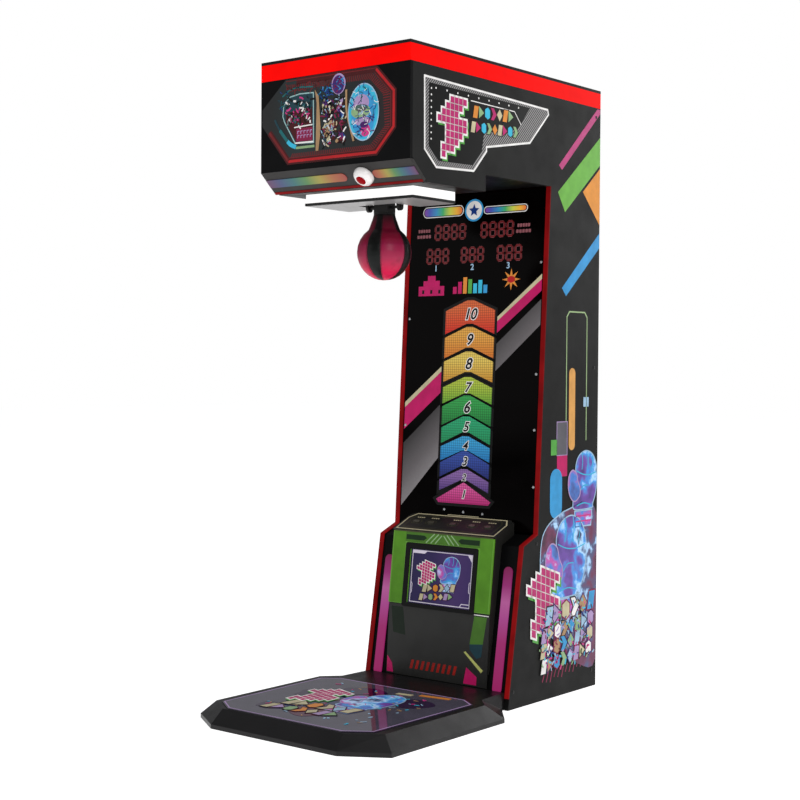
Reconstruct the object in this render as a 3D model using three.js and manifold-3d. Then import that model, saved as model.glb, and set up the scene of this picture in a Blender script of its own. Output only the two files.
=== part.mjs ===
// An upright boxing punch machine: a C-shaped cabinet whose head carries a swinging punch bag over a
// standing platform, with a scoreboard behind glass and a small console in front of it.
//
// Millimetres, +Z up, the player stands at -Y. The exported frame's origin is at the middle of the
// object's footprint, on the floor. The cabinet group has its own zero at the cabinet's back face.
import * as THREE from "three";
import { mergeVertices } from "three/addons/utils/BufferGeometryUtils.js";
import Module from "manifold-3d";

const wasm = await Module();
wasm.setup();

// ---------------------------------------------------------------- driving dimensions
const HEIGHT = 2200; // whole machine
const DEPTH = 1405; // cabinet back to platform front
const HALF_WIDTH = 321.6; // cabinet, outside
const BOARD = 18; // cabinet board thickness
const THIN_BOARD = 12; // head boards
const GAP = 0.3; // clearance between touching pieces
const INSIDE = HALF_WIDTH - BOARD - GAP; // half width between the side panels

const ROOF_THICKNESS = 10;
const LIGHT_BAR_HEIGHT = 55;
const HEAD_FRONT = -1130;
const HEAD_BOTTOM = 1763;
const CHAMFER_TOP = 1829;
const CHAMFER_FOOT = -1057;
const STEP_Y = -724; // the head floor ends here and the soffit starts
const SOFFIT = 1819;
const ROOF_BOTTOM = HEIGHT - ROOF_THICKNESS;
const LIGHT_BAR_BOTTOM = ROOF_BOTTOM - LIGHT_BAR_HEIGHT;

// Front edge of the side panels below the soffit, as (y, z), from the top down.
const GLASS_TOP = [-331, SOFFIT];
const GLASS_FOOT = [-396.5, 593];
const KNEE = [-483, 559];
const TOE = [-573.8, 0];
const TRIM = 4; // thickness of the light trim on that edge
const TRIM_FOOT = 40; // height where the trim ends

// Pivot of the punch bag.
const PIVOT_Y = -862;
const PIVOT_Z = 1717;
const SHAFT_RADIUS = 5;
const RUNNING_GAP = 0.35;
const ARM_TOP = PIVOT_Z + 14;
const ARM_BOTTOM = 1700;
const BAG_TOP = 1692;
const BAG_NECK = 36.5; // radius of the bag's neck and of its collar
const BEARING_X = 62; // inner face of each bearing bracket
const BEARING_THICKNESS = 10;
const NOTCH_HALF = 80; // half width of the cut-out round the arm in the boards above it

// Catch pin beside the arm, and the coil that lifts it.
const CATCH_X = 20;
const CATCH_Y = PIVOT_Y + 2;
const PIN_RADIUS = 3;
const PIN_HOLE_RADIUS = 3.6;
const COIL_SIZE = 32;
const COIL_HEIGHT = 42;

// Light box under the head floor, round the arm.
const STRIKE_HALF = 232.5;
const STRIKE_FRONT = -1001;
const STRIKE_BACK = -775;
const STRIKE_PLATE_TOP = 1733;
const STRIKE_PLATE_THICKNESS = 9;

// Lit window of the head front as (x, z): an octagon that sits a little to the left of the middle.
const MARQUEE = [
  [-198, 1850],
  [188, 1850],
  [265, 1930],
  [265, 2050],
  [186, 2131],
  [-208, 2131],
  [-315, 2040],
  [-315, 1985],
];

// Lamps on the slope under the head front: heights are measured up the slope.
const LENS_WIDTH = 33;
const LENS_MIDDLE = 49.5;
const LENS_EDGE = HALF_WIDTH - 2;
const LENS_INNER_LEFT = 30;
const LENS_INNER_RIGHT = 143;
const BEACON_X = 105;

const SPEAKER_Y = -480;

// Lower front panel and the two upright light bars on it.
const FRONT_INSET = 6; // behind the side panels' front edge
const SIDE_LIGHT_X = 267;
const SIDE_LIGHT_WIDTH = 36;
const SIDE_LIGHT_LENGTH = 440;
const SIDE_LIGHT_MIDDLE = 270.5; // up the slope from the toe

// Console, side view as (y, z).
const CONSOLE_BACK = [-403, 636];
const CONSOLE_EDGE = [-520, 587];
const CONSOLE_SEAM = [-552, 318.5];
const CONSOLE_SEAM_LOW = [-546, 318.5];
const CONSOLE_FOOT = [-562, 62];
const CONSOLE_HALF = 227;
const CONSOLE_WALL = 12;
const CONSOLE_PANEL = 6; // thickness of its top and upper front panels
const CONSOLE_LOWER_PANEL = 3.6;
const CONSOLE_BODY_BOTTOM = 110;
const CONSOLE_HOLLOW_BOTTOM = 170;
const CONSOLE_CORNER = 24; // radius of its top panel's rear corners
const BUTTON_X = [-166, -100, 0, 85, 155];
const BUTTON_UP = 62; // from the console's front edge, along its top
const BUTTON_SIZE = [26, 14];
const BUTTON_TRAVEL = 2.5;
const BUTTON_PROUD = 3;

// Standing platform, plan view as (x, y) of the right half, from the front middle round to the rear.
const PLATFORM_SKIRT = 14;
const PLATFORM_TOP = 60;
const PLATFORM_OUTER = [[270, -DEPTH], [413, -1314], [413, -721], [325, -612], [303, -577], [303, -565.3]];
const PLATFORM_DECK = [[260, -1361], [364, -1287], [366, -768], [310, -709], [303, -577], [303, -565.3]];
const PLATFORM_GLASS = [[245, -1355], [330, -1295], [338, -797], [275, -752]];
const DECK_PLATE = 12;
const GLASS_THICKNESS = 8;
const GLASS_PROUD = 2.5;

// Rear service door and its hinge line.
const REAR_FACE = -8; // back panel and door stand this far inside the side panels
const REAR_BOARD = 15;
const DOOR_HALF = 245;
const DOOR_BOTTOM = 300;
const DOOR_TOP = 1500;
const HINGE_Y = -4;
const LOCK_X = 215;
const LOCK_Z = 900;
const INLET_X = -200;
const INLET_Z = 130;
const ROCKER_Z = INLET_Z + 15.5;
const ROCKER_TILT = THREE.MathUtils.degToRad(7);
const INLET_HALF = [13.8, 27]; // half width and half height of its body
const FLANGE_HALF = [18, 31];
const LOCK_BARREL = 9; // radius

// ---------------------------------------------------------------- materials
const paint = (color, roughness, metalness = 0) =>
  new THREE.MeshStandardMaterial({ color, roughness, metalness });
const glow = (color, strength) =>
  new THREE.MeshStandardMaterial({ color, emissive: color, emissiveIntensity: strength, roughness: 0.4 });
const clear = (color, opacity) =>
  new THREE.MeshStandardMaterial({ color, opacity, transparent: true, roughness: 0.08 });

const look = {
  cabinet: paint(0x343234, 0.55),
  headFront: paint(0x1c1b1a, 0.45),
  chamfer: paint(0x3a3837, 0.5),
  innerBoard: paint(0x8a7356, 0.8),
  redLight: glow(0xff0000, 1),
  redTrim: glow(0xb52020, 0.8),
  whiteLight: glow(0xffffff, 1),
  magentaLight: glow(0xb0246e, 0.8),
  rainbow: glow(0x8b8f5a, 0.5),
  whitePlastic: paint(0xdedbd8, 0.35),
  redLens: glow(0xc01820, 0.6),
  blackMetal: paint(0x161616, 0.4, 0.6),
  steel: paint(0xb9bbbd, 0.35, 0.9),
  leather: paint(0x7a0f30, 0.4),
  rubber: paint(0x1a1a1a, 0.9),
  smokedGlass: clear(0x050203, 0.9),
  deckGlass: clear(0x77727d, 0.9),
  consoleBlack: paint(0x2c2c2a, 0.4),
  consoleGreen: paint(0x6aa82f, 0.45),
  screen: glow(0x28205a, 0.5),
  button: paint(0xd8d2b0, 0.4),
  platform: paint(0x3c393a, 0.5, 0.3),
  board: paint(0x1f5a34, 0.6),
  blackPlastic: paint(0x141414, 0.5),
};

// ---------------------------------------------------------------- shapes
const round = 24; // segments of small turned pieces
const fine = 40; // segments of the bag and the beacon

const box = (x0, x1, y0, y1, z0, z1) => {
  const g = new THREE.BoxGeometry(x1 - x0, y1 - y0, z1 - z0);
  return g.translate((x0 + x1) / 2, (y0 + y1) / 2, (z0 + z1) / 2);
};

// A box round a point of the back face: its half width and half height, then its front and back.
const around = (x, z, halfWidth, halfHeight, front, back) =>
  box(x - halfWidth, x + halfWidth, front, back, z - halfHeight, z + halfHeight);

const outline = (points) => new THREE.Shape(points.map(([a, b]) => new THREE.Vector2(a, b)));

const extrude = (shape, depth) =>
  new THREE.ExtrudeGeometry(shape, { depth, bevelEnabled: false, curveSegments: 8 });

// A plate in the XY plane, from z0 up to z1.
const plate = (shape, z0, z1) => extrude(shape, z1 - z0).translate(0, 0, z0);

// A prism with its outline in the YZ plane, from x0 to x1.
const sideways = new THREE.Matrix4().makeBasis(
  new THREE.Vector3(0, 1, 0),
  new THREE.Vector3(0, 0, 1),
  new THREE.Vector3(1, 0, 0),
);
const prism = (points, x0, x1) =>
  extrude(points instanceof THREE.Shape ? points : outline(points), x1 - x0)
    .applyMatrix4(sideways)
    .translate(x0, 0, 0);

const cylinderX = (radius, x0, x1, y, z, segments = round) => {
  const g = new THREE.CylinderGeometry(radius, radius, x1 - x0, segments);
  return g.rotateZ(Math.PI / 2).translate((x0 + x1) / 2, y, z);
};
const cylinderY = (radius, y0, y1, x, z, segments = round) => {
  const g = new THREE.CylinderGeometry(radius, radius, y1 - y0, segments);
  return g.translate(x, (y0 + y1) / 2, z);
};
const cylinderZ = (radius, z0, z1, x, y, segments = round) => {
  const g = new THREE.CylinderGeometry(radius, radius, z1 - z0, segments);
  return g.rotateX(Math.PI / 2).translate(x, y, (z0 + z1) / 2);
};

// A turned piece about Z from (radius, height) points that start and end on the axis, bottom first.
const turned = (profile, segments) => {
  const points = profile.map(([r, h]) => new THREE.Vector2(r, h));
  return new THREE.LatheGeometry(points, segments).rotateX(Math.PI / 2);
};

// A bar with round ends, lying along X.
const stadium = (length, width, x = 0, y = 0) => {
  const r = width / 2;
  const half = length / 2 - r;
  const s = new THREE.Shape();
  s.moveTo(x - half, y - r);
  s.lineTo(x + half, y - r);
  s.absarc(x + half, y, r, -Math.PI / 2, Math.PI / 2, false);
  s.lineTo(x - half, y + r);
  s.absarc(x - half, y, r, Math.PI / 2, (3 * Math.PI) / 2, false);
  return s;
};

// A line of (y, z) points moved sideways: to the right of its direction of travel when distance > 0.
const offset = (line, distance) => {
  const normals = line.slice(1).map(([y, z], i) => {
    const [y0, z0] = line[i];
    const length = Math.hypot(y - y0, z - z0);
    return [(z - z0) / length, -(y - y0) / length];
  });
  return line.map(([y, z], i) => {
    const a = normals[Math.max(i - 1, 0)];
    const b = normals[Math.min(i, normals.length - 1)];
    const scale = distance / (1 + a[0] * b[0] + a[1] * b[1]);
    return [y + (a[0] + b[0]) * scale, z + (a[1] + b[1]) * scale];
  });
};

// The point of the line through a and b at a given height, and the one at a given depth.
const atHeight = (a, b, z) => [a[0] + ((b[0] - a[0]) * (z - a[1])) / (b[1] - a[1]), z];
const atDepth = (a, b, y) => [y, a[1] + ((b[1] - a[1]) * (y - a[0])) / (b[0] - a[0])];

// The right half of a plan outline and its mirror image, joined.
const mirrored = (half) => [...half, ...half.map(([x, y]) => [-x, y]).reverse()];

// A closed plan outline moved in by a distance, corner by corner.
const inset = (points, distance) => {
  const count = points.length;
  return points.map(([x, y], i) => {
    const [px, py] = points[(i + count - 1) % count];
    const [nx, ny] = points[(i + 1) % count];
    const a = new THREE.Vector2(x - px, y - py).normalize();
    const b = new THREE.Vector2(nx - x, ny - y).normalize();
    const scale = distance / (1 + a.dot(b));
    return [x - (a.y + b.y) * scale, y + (a.x + b.x) * scale];
  });
};

// A body between stacked plan outlines with equal numbers of corners: [[points, z], ...], bottom first.
const stacked = (levels) => {
  const count = levels[0][0].length;
  const vertices = levels.flatMap(([points, z]) => points.flatMap(([x, y]) => [x, y, z]));
  const faces = [];
  levels.slice(1).forEach((_, level) => {
    for (let i = 0; i < count; i += 1) {
      const a = level * count + i;
      const b = level * count + ((i + 1) % count);
      faces.push(a, b, b + count, a, b + count, a + count);
    }
  });
  const cap = (points) => {
    const corners = points.map(([x, y]) => new THREE.Vector2(x, y));
    return THREE.ShapeUtils.triangulateShape(corners, []);
  };
  cap(levels[0][0]).forEach(([a, b, c]) => faces.push(a, c, b));
  const top = (levels.length - 1) * count;
  cap(levels[levels.length - 1][0]).forEach(([a, b, c]) => faces.push(top + a, top + b, top + c));
  const g = new THREE.BufferGeometry();
  g.setAttribute("position", new THREE.Float32BufferAttribute(vertices, 3));
  g.setIndex(faces);
  return g;
};

// ---------------------------------------------------------------- cutting and joining
const solid = (geometry) => {
  const g = geometry.clone();
  g.deleteAttribute("normal");
  g.deleteAttribute("uv");
  const merged = mergeVertices(g, 1e-4);
  return new wasm.Manifold(
    new wasm.Mesh({
      numProp: 3,
      vertProperties: new Float32Array(merged.attributes.position.array),
      triVerts: new Uint32Array(merged.index.array),
    }),
  );
};

const geometryOf = (manifold) => {
  const mesh = manifold.getMesh();
  const g = new THREE.BufferGeometry();
  g.setAttribute("position", new THREE.Float32BufferAttribute(mesh.vertProperties, 3));
  g.setIndex(Array.from(mesh.triVerts));
  g.computeVertexNormals();
  return g;
};

const cut = (geometry, ...tools) =>
  geometryOf(tools.reduce((body, tool) => body.subtract(solid(tool)), solid(geometry)));
const join = (geometry, ...more) =>
  geometryOf(more.reduce((body, piece) => body.add(solid(piece)), solid(geometry)));

// ---------------------------------------------------------------- scene graph
const machine = new THREE.Group();
const cabinet = new THREE.Group();
cabinet.position.y = DEPTH / 2;
machine.add(cabinet);

const piece = (name, geometry, material, parent = cabinet) => {
  const mesh = new THREE.Mesh(geometry, material);
  mesh.name = name;
  parent.add(mesh);
  return mesh;
};

// A frame lying on a sloped face: X across, Y up the slope from its lower line, Z out of the face.
const slope = (lower, upper) => {
  const frame = new THREE.Group();
  frame.position.set(0, lower[0], lower[1]);
  frame.rotation.x = Math.atan2(upper[1] - lower[1], upper[0] - lower[0]);
  cabinet.add(frame);
  const length = Math.hypot(upper[0] - lower[0], upper[1] - lower[1]);
  return { frame, length };
};

// ---------------------------------------------------------------- cabinet shell
function addSidePanels() {
  const chamfer = offset([[HEAD_FRONT, CHAMFER_TOP], [CHAMFER_FOOT, HEAD_BOTTOM]], -(THIN_BOARD + GAP));
  const front = HEAD_FRONT + THIN_BOARD + GAP;
  const edge = offset([GLASS_TOP, GLASS_FOOT, KNEE, TOE], -(TRIM + GAP));
  const profile = [
    [0, 0],
    [0, LIGHT_BAR_BOTTOM - GAP],
    [front, LIGHT_BAR_BOTTOM - GAP],
    atDepth(chamfer[0], chamfer[1], front),
    atHeight(chamfer[0], chamfer[1], HEAD_BOTTOM + GAP),
    [STEP_Y, HEAD_BOTTOM + GAP],
    [STEP_Y, SOFFIT],
    atHeight(edge[0], edge[1], SOFFIT),
    edge[1],
    edge[2],
    atHeight(edge[2], edge[3], 0),
  ];
  for (const [side, x0] of [["left", -HALF_WIDTH], ["right", HALF_WIDTH - BOARD]]) {
    piece(`side_panel_${side}`, prism([...profile].reverse(), x0, x0 + BOARD), look.cabinet);
  }
}

function addEdgeLights() {
  const top = atHeight(GLASS_TOP, GLASS_FOOT, SOFFIT - GAP);
  const line = [top, GLASS_FOOT, KNEE, atHeight(KNEE, TOE, TRIM_FOOT)];
  const profile = [...line, ...offset(line, -TRIM).reverse()];
  for (const [side, x0] of [["left", -HALF_WIDTH], ["right", HALF_WIDTH - BOARD]]) {
    piece(`edge_light_${side}`, prism(profile, x0, x0 + BOARD), look.redTrim);
  }
}

function addRoof() {
  piece("roof_panel", box(-HALF_WIDTH, HALF_WIDTH, HEAD_FRONT, 0, ROOF_BOTTOM, HEIGHT), look.cabinet);
  const bar = new THREE.Shape();
  bar.moveTo(-HALF_WIDTH, 0);
  bar.lineTo(-HALF_WIDTH, HEAD_FRONT);
  bar.lineTo(HALF_WIDTH, HEAD_FRONT);
  bar.lineTo(HALF_WIDTH, 0);
  bar.lineTo(HALF_WIDTH - BOARD, 0);
  bar.lineTo(HALF_WIDTH - BOARD, HEAD_FRONT + BOARD);
  bar.lineTo(-HALF_WIDTH + BOARD, HEAD_FRONT + BOARD);
  bar.lineTo(-HALF_WIDTH + BOARD, 0);
  piece("roof_light_bar", plate(bar, LIGHT_BAR_BOTTOM, ROOF_BOTTOM - GAP), look.redLight);
}

function addBaseAndBack() {
  piece("base_board", box(-INSIDE, INSIDE, -553, -1, 0, BOARD), look.innerBoard);
  const front = REAR_FACE - REAR_BOARD;
  const panel = box(-INSIDE, INSIDE, front, REAR_FACE, BOARD + GAP, ROOF_BOTTOM - GAP);
  const doorway = box(-DOOR_HALF, DOOR_HALF, front - 1, 0, DOOR_BOTTOM, DOOR_TOP);
  const inletHole = around(INLET_X, INLET_Z, INLET_HALF[0] + GAP, INLET_HALF[1] + GAP, front - 1, 0);
  piece("back_panel", cut(panel, doorway, inletHole), look.cabinet);
  piece("power_supply", box(80, 240, -170, -60, BOARD + GAP, 78), look.steel);
  piece("main_controller", box(272, INSIDE, -260, -120, 700, 880), look.board);
}

function addRearDoor() {
  const front = REAR_FACE - REAR_BOARD;
  const gap = 1;
  const door = box(-DOOR_HALF + gap, DOOR_HALF - gap, front, REAR_FACE, DOOR_BOTTOM + gap, DOOR_TOP - gap);
  piece("rear_door", cut(door, cylinderY(LOCK_BARREL + GAP, front - 1, 0, LOCK_X, LOCK_Z)), look.cabinet);

  const leafWidth = 26;
  const leafBack = REAR_FACE + GAP;
  const leafThick = 1.5;
  const knuckle = 3.7;
  const pin = 1.5;
  const bottom = DOOR_BOTTOM + 50;
  const length = DOOR_TOP - DOOR_BOTTOM - 100;
  const count = 7;
  const pitch = length / count;
  const leaf = (side, from) => {
    const [x0, x1] = [side * from, side * (from + leafWidth)].sort((a, b) => a - b);
    return box(x0 - DOOR_HALF, x1 - DOOR_HALF, leafBack, leafBack + leafThick, bottom, bottom + length);
  };
  const knuckles = (side, first, bore) => {
    const parts = [];
    for (let i = first; i < count; i += 2) {
      const z0 = bottom + i * pitch + GAP;
      const z1 = bottom + (i + 1) * pitch - GAP;
      const [x0, x1] = [0, side * (knuckle + 1)].sort((a, b) => a - b);
      let roll = join(
        cylinderZ(knuckle, z0, z1, -DOOR_HALF, HINGE_Y, 16),
        box(x0 - DOOR_HALF, x1 - DOOR_HALF, leafBack, leafBack + leafThick, z0, z1),
      );
      if (bore) roll = cut(roll, cylinderZ(bore, z0 - 1, z1 + 1, -DOOR_HALF, HINGE_Y, 16));
      parts.push(roll);
    }
    return parts;
  };
  const fixed = join(
    leaf(-1, knuckle + 0.5),
    ...knuckles(-1, 0, 0),
    cylinderZ(pin, bottom + 1, bottom + length - 1, -DOOR_HALF, HINGE_Y, 16),
  );
  const moving = join(leaf(1, knuckle + 0.5), ...knuckles(1, 1, pin + 0.4));
  piece("door_hinge_fixed", fixed, look.steel);
  piece("door_hinge_moving", moving, look.steel);

  const camLength = 38;
  const camHalf = 8;
  const camFront = front - 3.5;
  const lock = join(
    cylinderY(LOCK_BARREL, camFront, REAR_FACE + 1, LOCK_X, LOCK_Z),
    cylinderY(LOCK_BARREL + 4, REAR_FACE + GAP, REAR_FACE + 5, LOCK_X, LOCK_Z),
    box(LOCK_X - camHalf, LOCK_X + camHalf, camFront, camFront + 3, LOCK_Z - camLength, LOCK_Z),
  );
  piece("door_lock", lock, look.steel);
}

function addMainsInlet() {
  const flangeBack = REAR_FACE + GAP;
  const flangeFace = REAR_FACE + 2;
  const body = join(
    around(INLET_X, INLET_Z, ...FLANGE_HALF, flangeBack, flangeFace),
    around(INLET_X, INLET_Z, ...INLET_HALF, -45, flangeBack + 0.5),
  );
  const socket = around(INLET_X, INLET_Z - 16.5, 12, 8.5, -26, 0);
  const rockerHole = around(INLET_X, ROCKER_Z, 7.2, 10.2, -20, 0);
  piece("mains_inlet", cut(body, socket, rockerHole), look.blackPlastic);

  const pivot = new THREE.Group();
  pivot.position.set(INLET_X, -10, ROCKER_Z);
  pivot.rotation.x = -ROCKER_TILT;
  cabinet.add(pivot);
  const profile = [[-4, -8.5], [4.5, -8.5], [3, 0], [4.5, 8.5], [-4, 8.5]];
  piece("power_switch", prism(profile, -6.4, 6.4), look.blackPlastic, pivot);
}

// ---------------------------------------------------------------- head
function addHeadFront() {
  const top = LIGHT_BAR_BOTTOM - GAP;
  const board = box(-HALF_WIDTH, HALF_WIDTH, HEAD_FRONT, HEAD_FRONT + THIN_BOARD, CHAMFER_TOP, top);
  const upright = (points, back, front) => {
    const g = extrude(outline(points), back - front);
    return g.rotateX(Math.PI / 2).translate(0, back, 0);
  };
  const pocketBack = HEAD_FRONT + 5;
  const boardFront = HEAD_FRONT + 2;
  const windowFront = HEAD_FRONT - 1;
  const pocket = upright(inset(MARQUEE, -GAP), pocketBack, windowFront);
  piece("head_front_panel", cut(board, pocket), look.headFront);
  piece("marquee_light_board", upright(MARQUEE, pocketBack - GAP, boardFront), look.board);
  piece("marquee_window", upright(MARQUEE, boardFront - GAP, windowFront), look.smokedGlass);
}

function addChamfer() {
  const outer = [[HEAD_FRONT, CHAMFER_TOP - GAP], [CHAMFER_FOOT, HEAD_BOTTOM]];
  const inner = offset(outer, -THIN_BOARD);
  const profile = [outer[0], outer[1], inner[1], atHeight(inner[0], inner[1], CHAMFER_TOP - GAP)];
  piece("chamfer_panel", prism(profile, -HALF_WIDTH, HALF_WIDTH), look.chamfer);

  const { frame } = slope(outer[1], outer[0]);
  const lens = (inner0, outer0) => {
    const r = LENS_WIDTH / 2;
    const side = Math.sign(outer0 - inner0);
    const s = new THREE.Shape();
    s.moveTo(outer0, LENS_MIDDLE - r);
    s.lineTo(outer0, LENS_MIDDLE + r);
    s.lineTo(inner0 + side * r, LENS_MIDDLE + r);
    s.absarc(inner0 + side * r, LENS_MIDDLE, r, Math.PI / 2, (3 * Math.PI) / 2, side < 0);
    return plate(s, GAP, 2.3);
  };
  piece("rainbow_lens_left", lens(LENS_INNER_LEFT, -LENS_EDGE), look.rainbow, frame);
  piece("rainbow_lens_right", lens(LENS_INNER_RIGHT, LENS_EDGE), look.rainbow, frame);
  const strip = box(-LENS_EDGE, LENS_EDGE, 2, 11, GAP, 1.8);
  piece("chamfer_light_strip", strip, look.redTrim, frame);

  const beacon = new THREE.Group();
  beacon.position.set(BEACON_X, LENS_MIDDLE - 1, GAP);
  frame.add(beacon);
  const dome = [[35, 0], [35, 6], [33, 14], [28, 20], [22, 24], [17.3, 25.5]];
  const housing = [[0, 0], ...dome, [17.3, 18], [0, 18]];
  const lensProfile = [[0, 18.3], [16.7, 18.3], [16.7, 25], [12, 28.5], [6, 30], [0, 30.5]];
  piece("beacon_housing", turned(housing, fine), look.whitePlastic, beacon);
  piece("beacon_lens", turned(lensProfile, fine), look.redLens, beacon);
}

function addHeadFloor() {
  const front = CHAMFER_FOOT + 9;
  const back = STEP_Y - THIN_BOARD - GAP;
  const floor = box(-INSIDE, INSIDE, front, back, HEAD_BOTTOM, HEAD_BOTTOM + THIN_BOARD);
  const notch = box(-NOTCH_HALF, NOTCH_HALF, -800, 0, 1700, 1800);
  const pinHole = cylinderZ(PIN_HOLE_RADIUS, 1700, 1800, CATCH_X, CATCH_Y, 16);
  piece("head_floor_panel", cut(floor, notch, pinHole), look.headFront);

  const step = box(-INSIDE, INSIDE, STEP_Y - THIN_BOARD, STEP_Y, HEAD_BOTTOM, SOFFIT + THIN_BOARD);
  piece("step_board", cut(step, box(-100, 100, -800, -700, 1700, 1806)), look.headFront);

  const soffit = box(-INSIDE, INSIDE, STEP_Y + GAP, -345, SOFFIT, SOFFIT + THIN_BOARD);
  const slots = [-24, -12, 0, 12, 24].map((dy) => {
    const y = SPEAKER_Y + dy;
    return box(-34, 34, y - 3, y + 3, 1800, 1850);
  });
  piece("rear_soffit_panel", cut(soffit, ...slots), look.headFront);

  const base = SOFFIT + THIN_BOARD + GAP;
  const basket = turned([[0, 0], [52, 0], [52, 4], [46, 5], [30, 28], [30, 48], [0, 48]], round);
  const cone = turned([[0, -1], [41, -1], [16, 24], [0, 24]], round);
  piece("speaker", cut(basket, cone).translate(0, SPEAKER_Y, base), look.blackPlastic);
  piece("bag_stop_pad", box(-60, 60, -712, -650, SOFFIT - 20, SOFFIT - GAP), look.rubber);
}

function addStrikeLight() {
  const half = STRIKE_HALF;
  const top = STRIKE_PLATE_TOP;
  const bottom = top - STRIKE_PLATE_THICKNESS;
  const notch = box(-NOTCH_HALF, NOTCH_HALF, -900, 0, 1700, 1800);
  const lightBox = box(-half, half, STRIKE_FRONT, STRIKE_BACK, top + GAP, HEAD_BOTTOM - GAP);
  piece("strike_light_box", cut(lightBox, notch), look.whiteLight);
  const under = box(-half - 2, half + 2, STRIKE_FRONT - 3, STRIKE_BACK, bottom, top);
  piece("strike_plate", cut(under, notch), look.blackMetal);
}

// ---------------------------------------------------------------- punch bag and its catch
function addBag() {
  const outer = BEARING_X + BEARING_THICKNESS;
  for (const [side, x0] of [["left", -outer], ["right", BEARING_X]]) {
    const s = new THREE.Shape();
    s.moveTo(PIVOT_Y + 16, HEAD_BOTTOM - GAP);
    s.lineTo(PIVOT_Y - 16, HEAD_BOTTOM - GAP);
    s.lineTo(PIVOT_Y - 13, PIVOT_Z);
    s.absarc(PIVOT_Y, PIVOT_Z, 13, Math.PI, 2 * Math.PI, false);
    const x1 = x0 + BEARING_THICKNESS;
    const bore = cylinderX(SHAFT_RADIUS + RUNNING_GAP, x0 - 1, x1 + 1, PIVOT_Y, PIVOT_Z);
    piece(`arm_bearing_${side}`, cut(prism(s, x0, x1), bore), look.steel);
  }
  piece("arm_shaft", cylinderX(SHAFT_RADIUS, -outer - 2, outer + 2, PIVOT_Y, PIVOT_Z), look.blackMetal);
  const block = box(-30, 30, PIVOT_Y - 21, PIVOT_Y + 21, ARM_BOTTOM, ARM_TOP);
  const bore = cylinderX(SHAFT_RADIUS + GAP, -31, 31, PIVOT_Y, PIVOT_Z);
  piece("swing_arm", cut(block, bore), look.blackMetal);
  piece("sensor_vane", box(-1, 1, PIVOT_Y - 6, PIVOT_Y + 6, ARM_TOP + GAP, PIVOT_Z + 32), look.steel);

  const collar = cylinderZ(BAG_NECK, BAG_TOP + GAP, ARM_BOTTOM - GAP, 0, PIVOT_Y, fine);
  piece("bag_collar", collar, look.blackMetal);
  piece("punch_bag", turned(bagProfile(), fine).translate(0, PIVOT_Y, 0), look.leather);
}

// A pear shape: a round body with a slightly flared neck, bottom first.
function bagProfile() {
  const radius = 93;
  const middle = 1565;
  const neckFoot = [54, 1641];
  const below = Array.from({ length: 8 }, (_, i) => {
    const a = -Math.PI / 2 + (i * Math.PI) / 16;
    return [radius * Math.cos(a), middle + (radius + 1) * Math.sin(a)];
  });
  below[0][0] = 0;
  const reach = Math.acos(neckFoot[0] / radius);
  const above = Array.from({ length: 5 }, (_, i) => {
    const a = (i * reach) / 4;
    return [radius * Math.cos(a), middle + ((neckFoot[1] - middle) * Math.sin(a)) / Math.sin(reach)];
  });
  return [...below, ...above, [47, 1659], [41, 1676], [BAG_NECK, BAG_TOP], [0, BAG_TOP]];
}

function addCatch() {
  const sensorBottom = PIVOT_Z + 26.2;
  const sensor = box(-8, 8, PIVOT_Y - 8, PIVOT_Y + 8, sensorBottom, HEAD_BOTTOM - GAP);
  const slot = box(-3, 3, PIVOT_Y - 9, PIVOT_Y + 9, sensorBottom - 1, PIVOT_Z + 36);
  piece("strike_sensor", cut(sensor, slot), look.blackPlastic);
  const coilBottom = HEAD_BOTTOM + THIN_BOARD + GAP;
  const coil = new THREE.BoxGeometry(COIL_SIZE, COIL_SIZE, COIL_HEIGHT);
  coil.translate(CATCH_X, CATCH_Y, coilBottom + COIL_HEIGHT / 2);
  const coilBore = cylinderZ(PIN_HOLE_RADIUS, coilBottom - 1, coilBottom + 34, CATCH_X, CATCH_Y, 16);
  piece("catch_solenoid", cut(coil, coilBore), look.steel);
  const pinBottom = PIVOT_Z + 26.6;
  const pin = cylinderZ(PIN_RADIUS, pinBottom, coilBottom + 28, CATCH_X, CATCH_Y, 16);
  piece("catch_plunger", pin, look.steel);
}

// ---------------------------------------------------------------- scoreboard
function addScoreboard() {
  const { frame, length } = slope(GLASS_FOOT, GLASS_TOP);
  piece("score_glass", box(-300, 300, 4, length - 5, -8, -3), look.smokedGlass, frame);
  piece("display_board", box(-260, 260, 30, length - 40, -24, -18), look.board, frame);
}

function addLowerFront() {
  const line = [GLASS_FOOT, KNEE, TOE];
  const outer = offset(line, -FRONT_INSET);
  const inner = offset(line, -(FRONT_INSET + THIN_BOARD));
  const front = [...outer.slice(0, 2), atHeight(outer[1], outer[2], BOARD + GAP)];
  const back = [...inner.slice(0, 2), atHeight(inner[1], inner[2], BOARD + GAP)];
  piece("lower_front_panel", prism([...front, ...back.reverse()], -INSIDE, INSIDE), look.headFront);

  const { frame } = slope(TOE, KNEE);
  const shape = stadium(SIDE_LIGHT_LENGTH, SIDE_LIGHT_WIDTH);
  for (const [side, x] of [["left", -SIDE_LIGHT_X], ["right", SIDE_LIGHT_X]]) {
    const bar = plate(shape, GAP - FRONT_INSET, -1);
    bar.rotateZ(Math.PI / 2).translate(x, SIDE_LIGHT_MIDDLE, 0);
    piece(`side_light_${side}`, bar, look.magentaLight, frame);
  }
}

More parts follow.
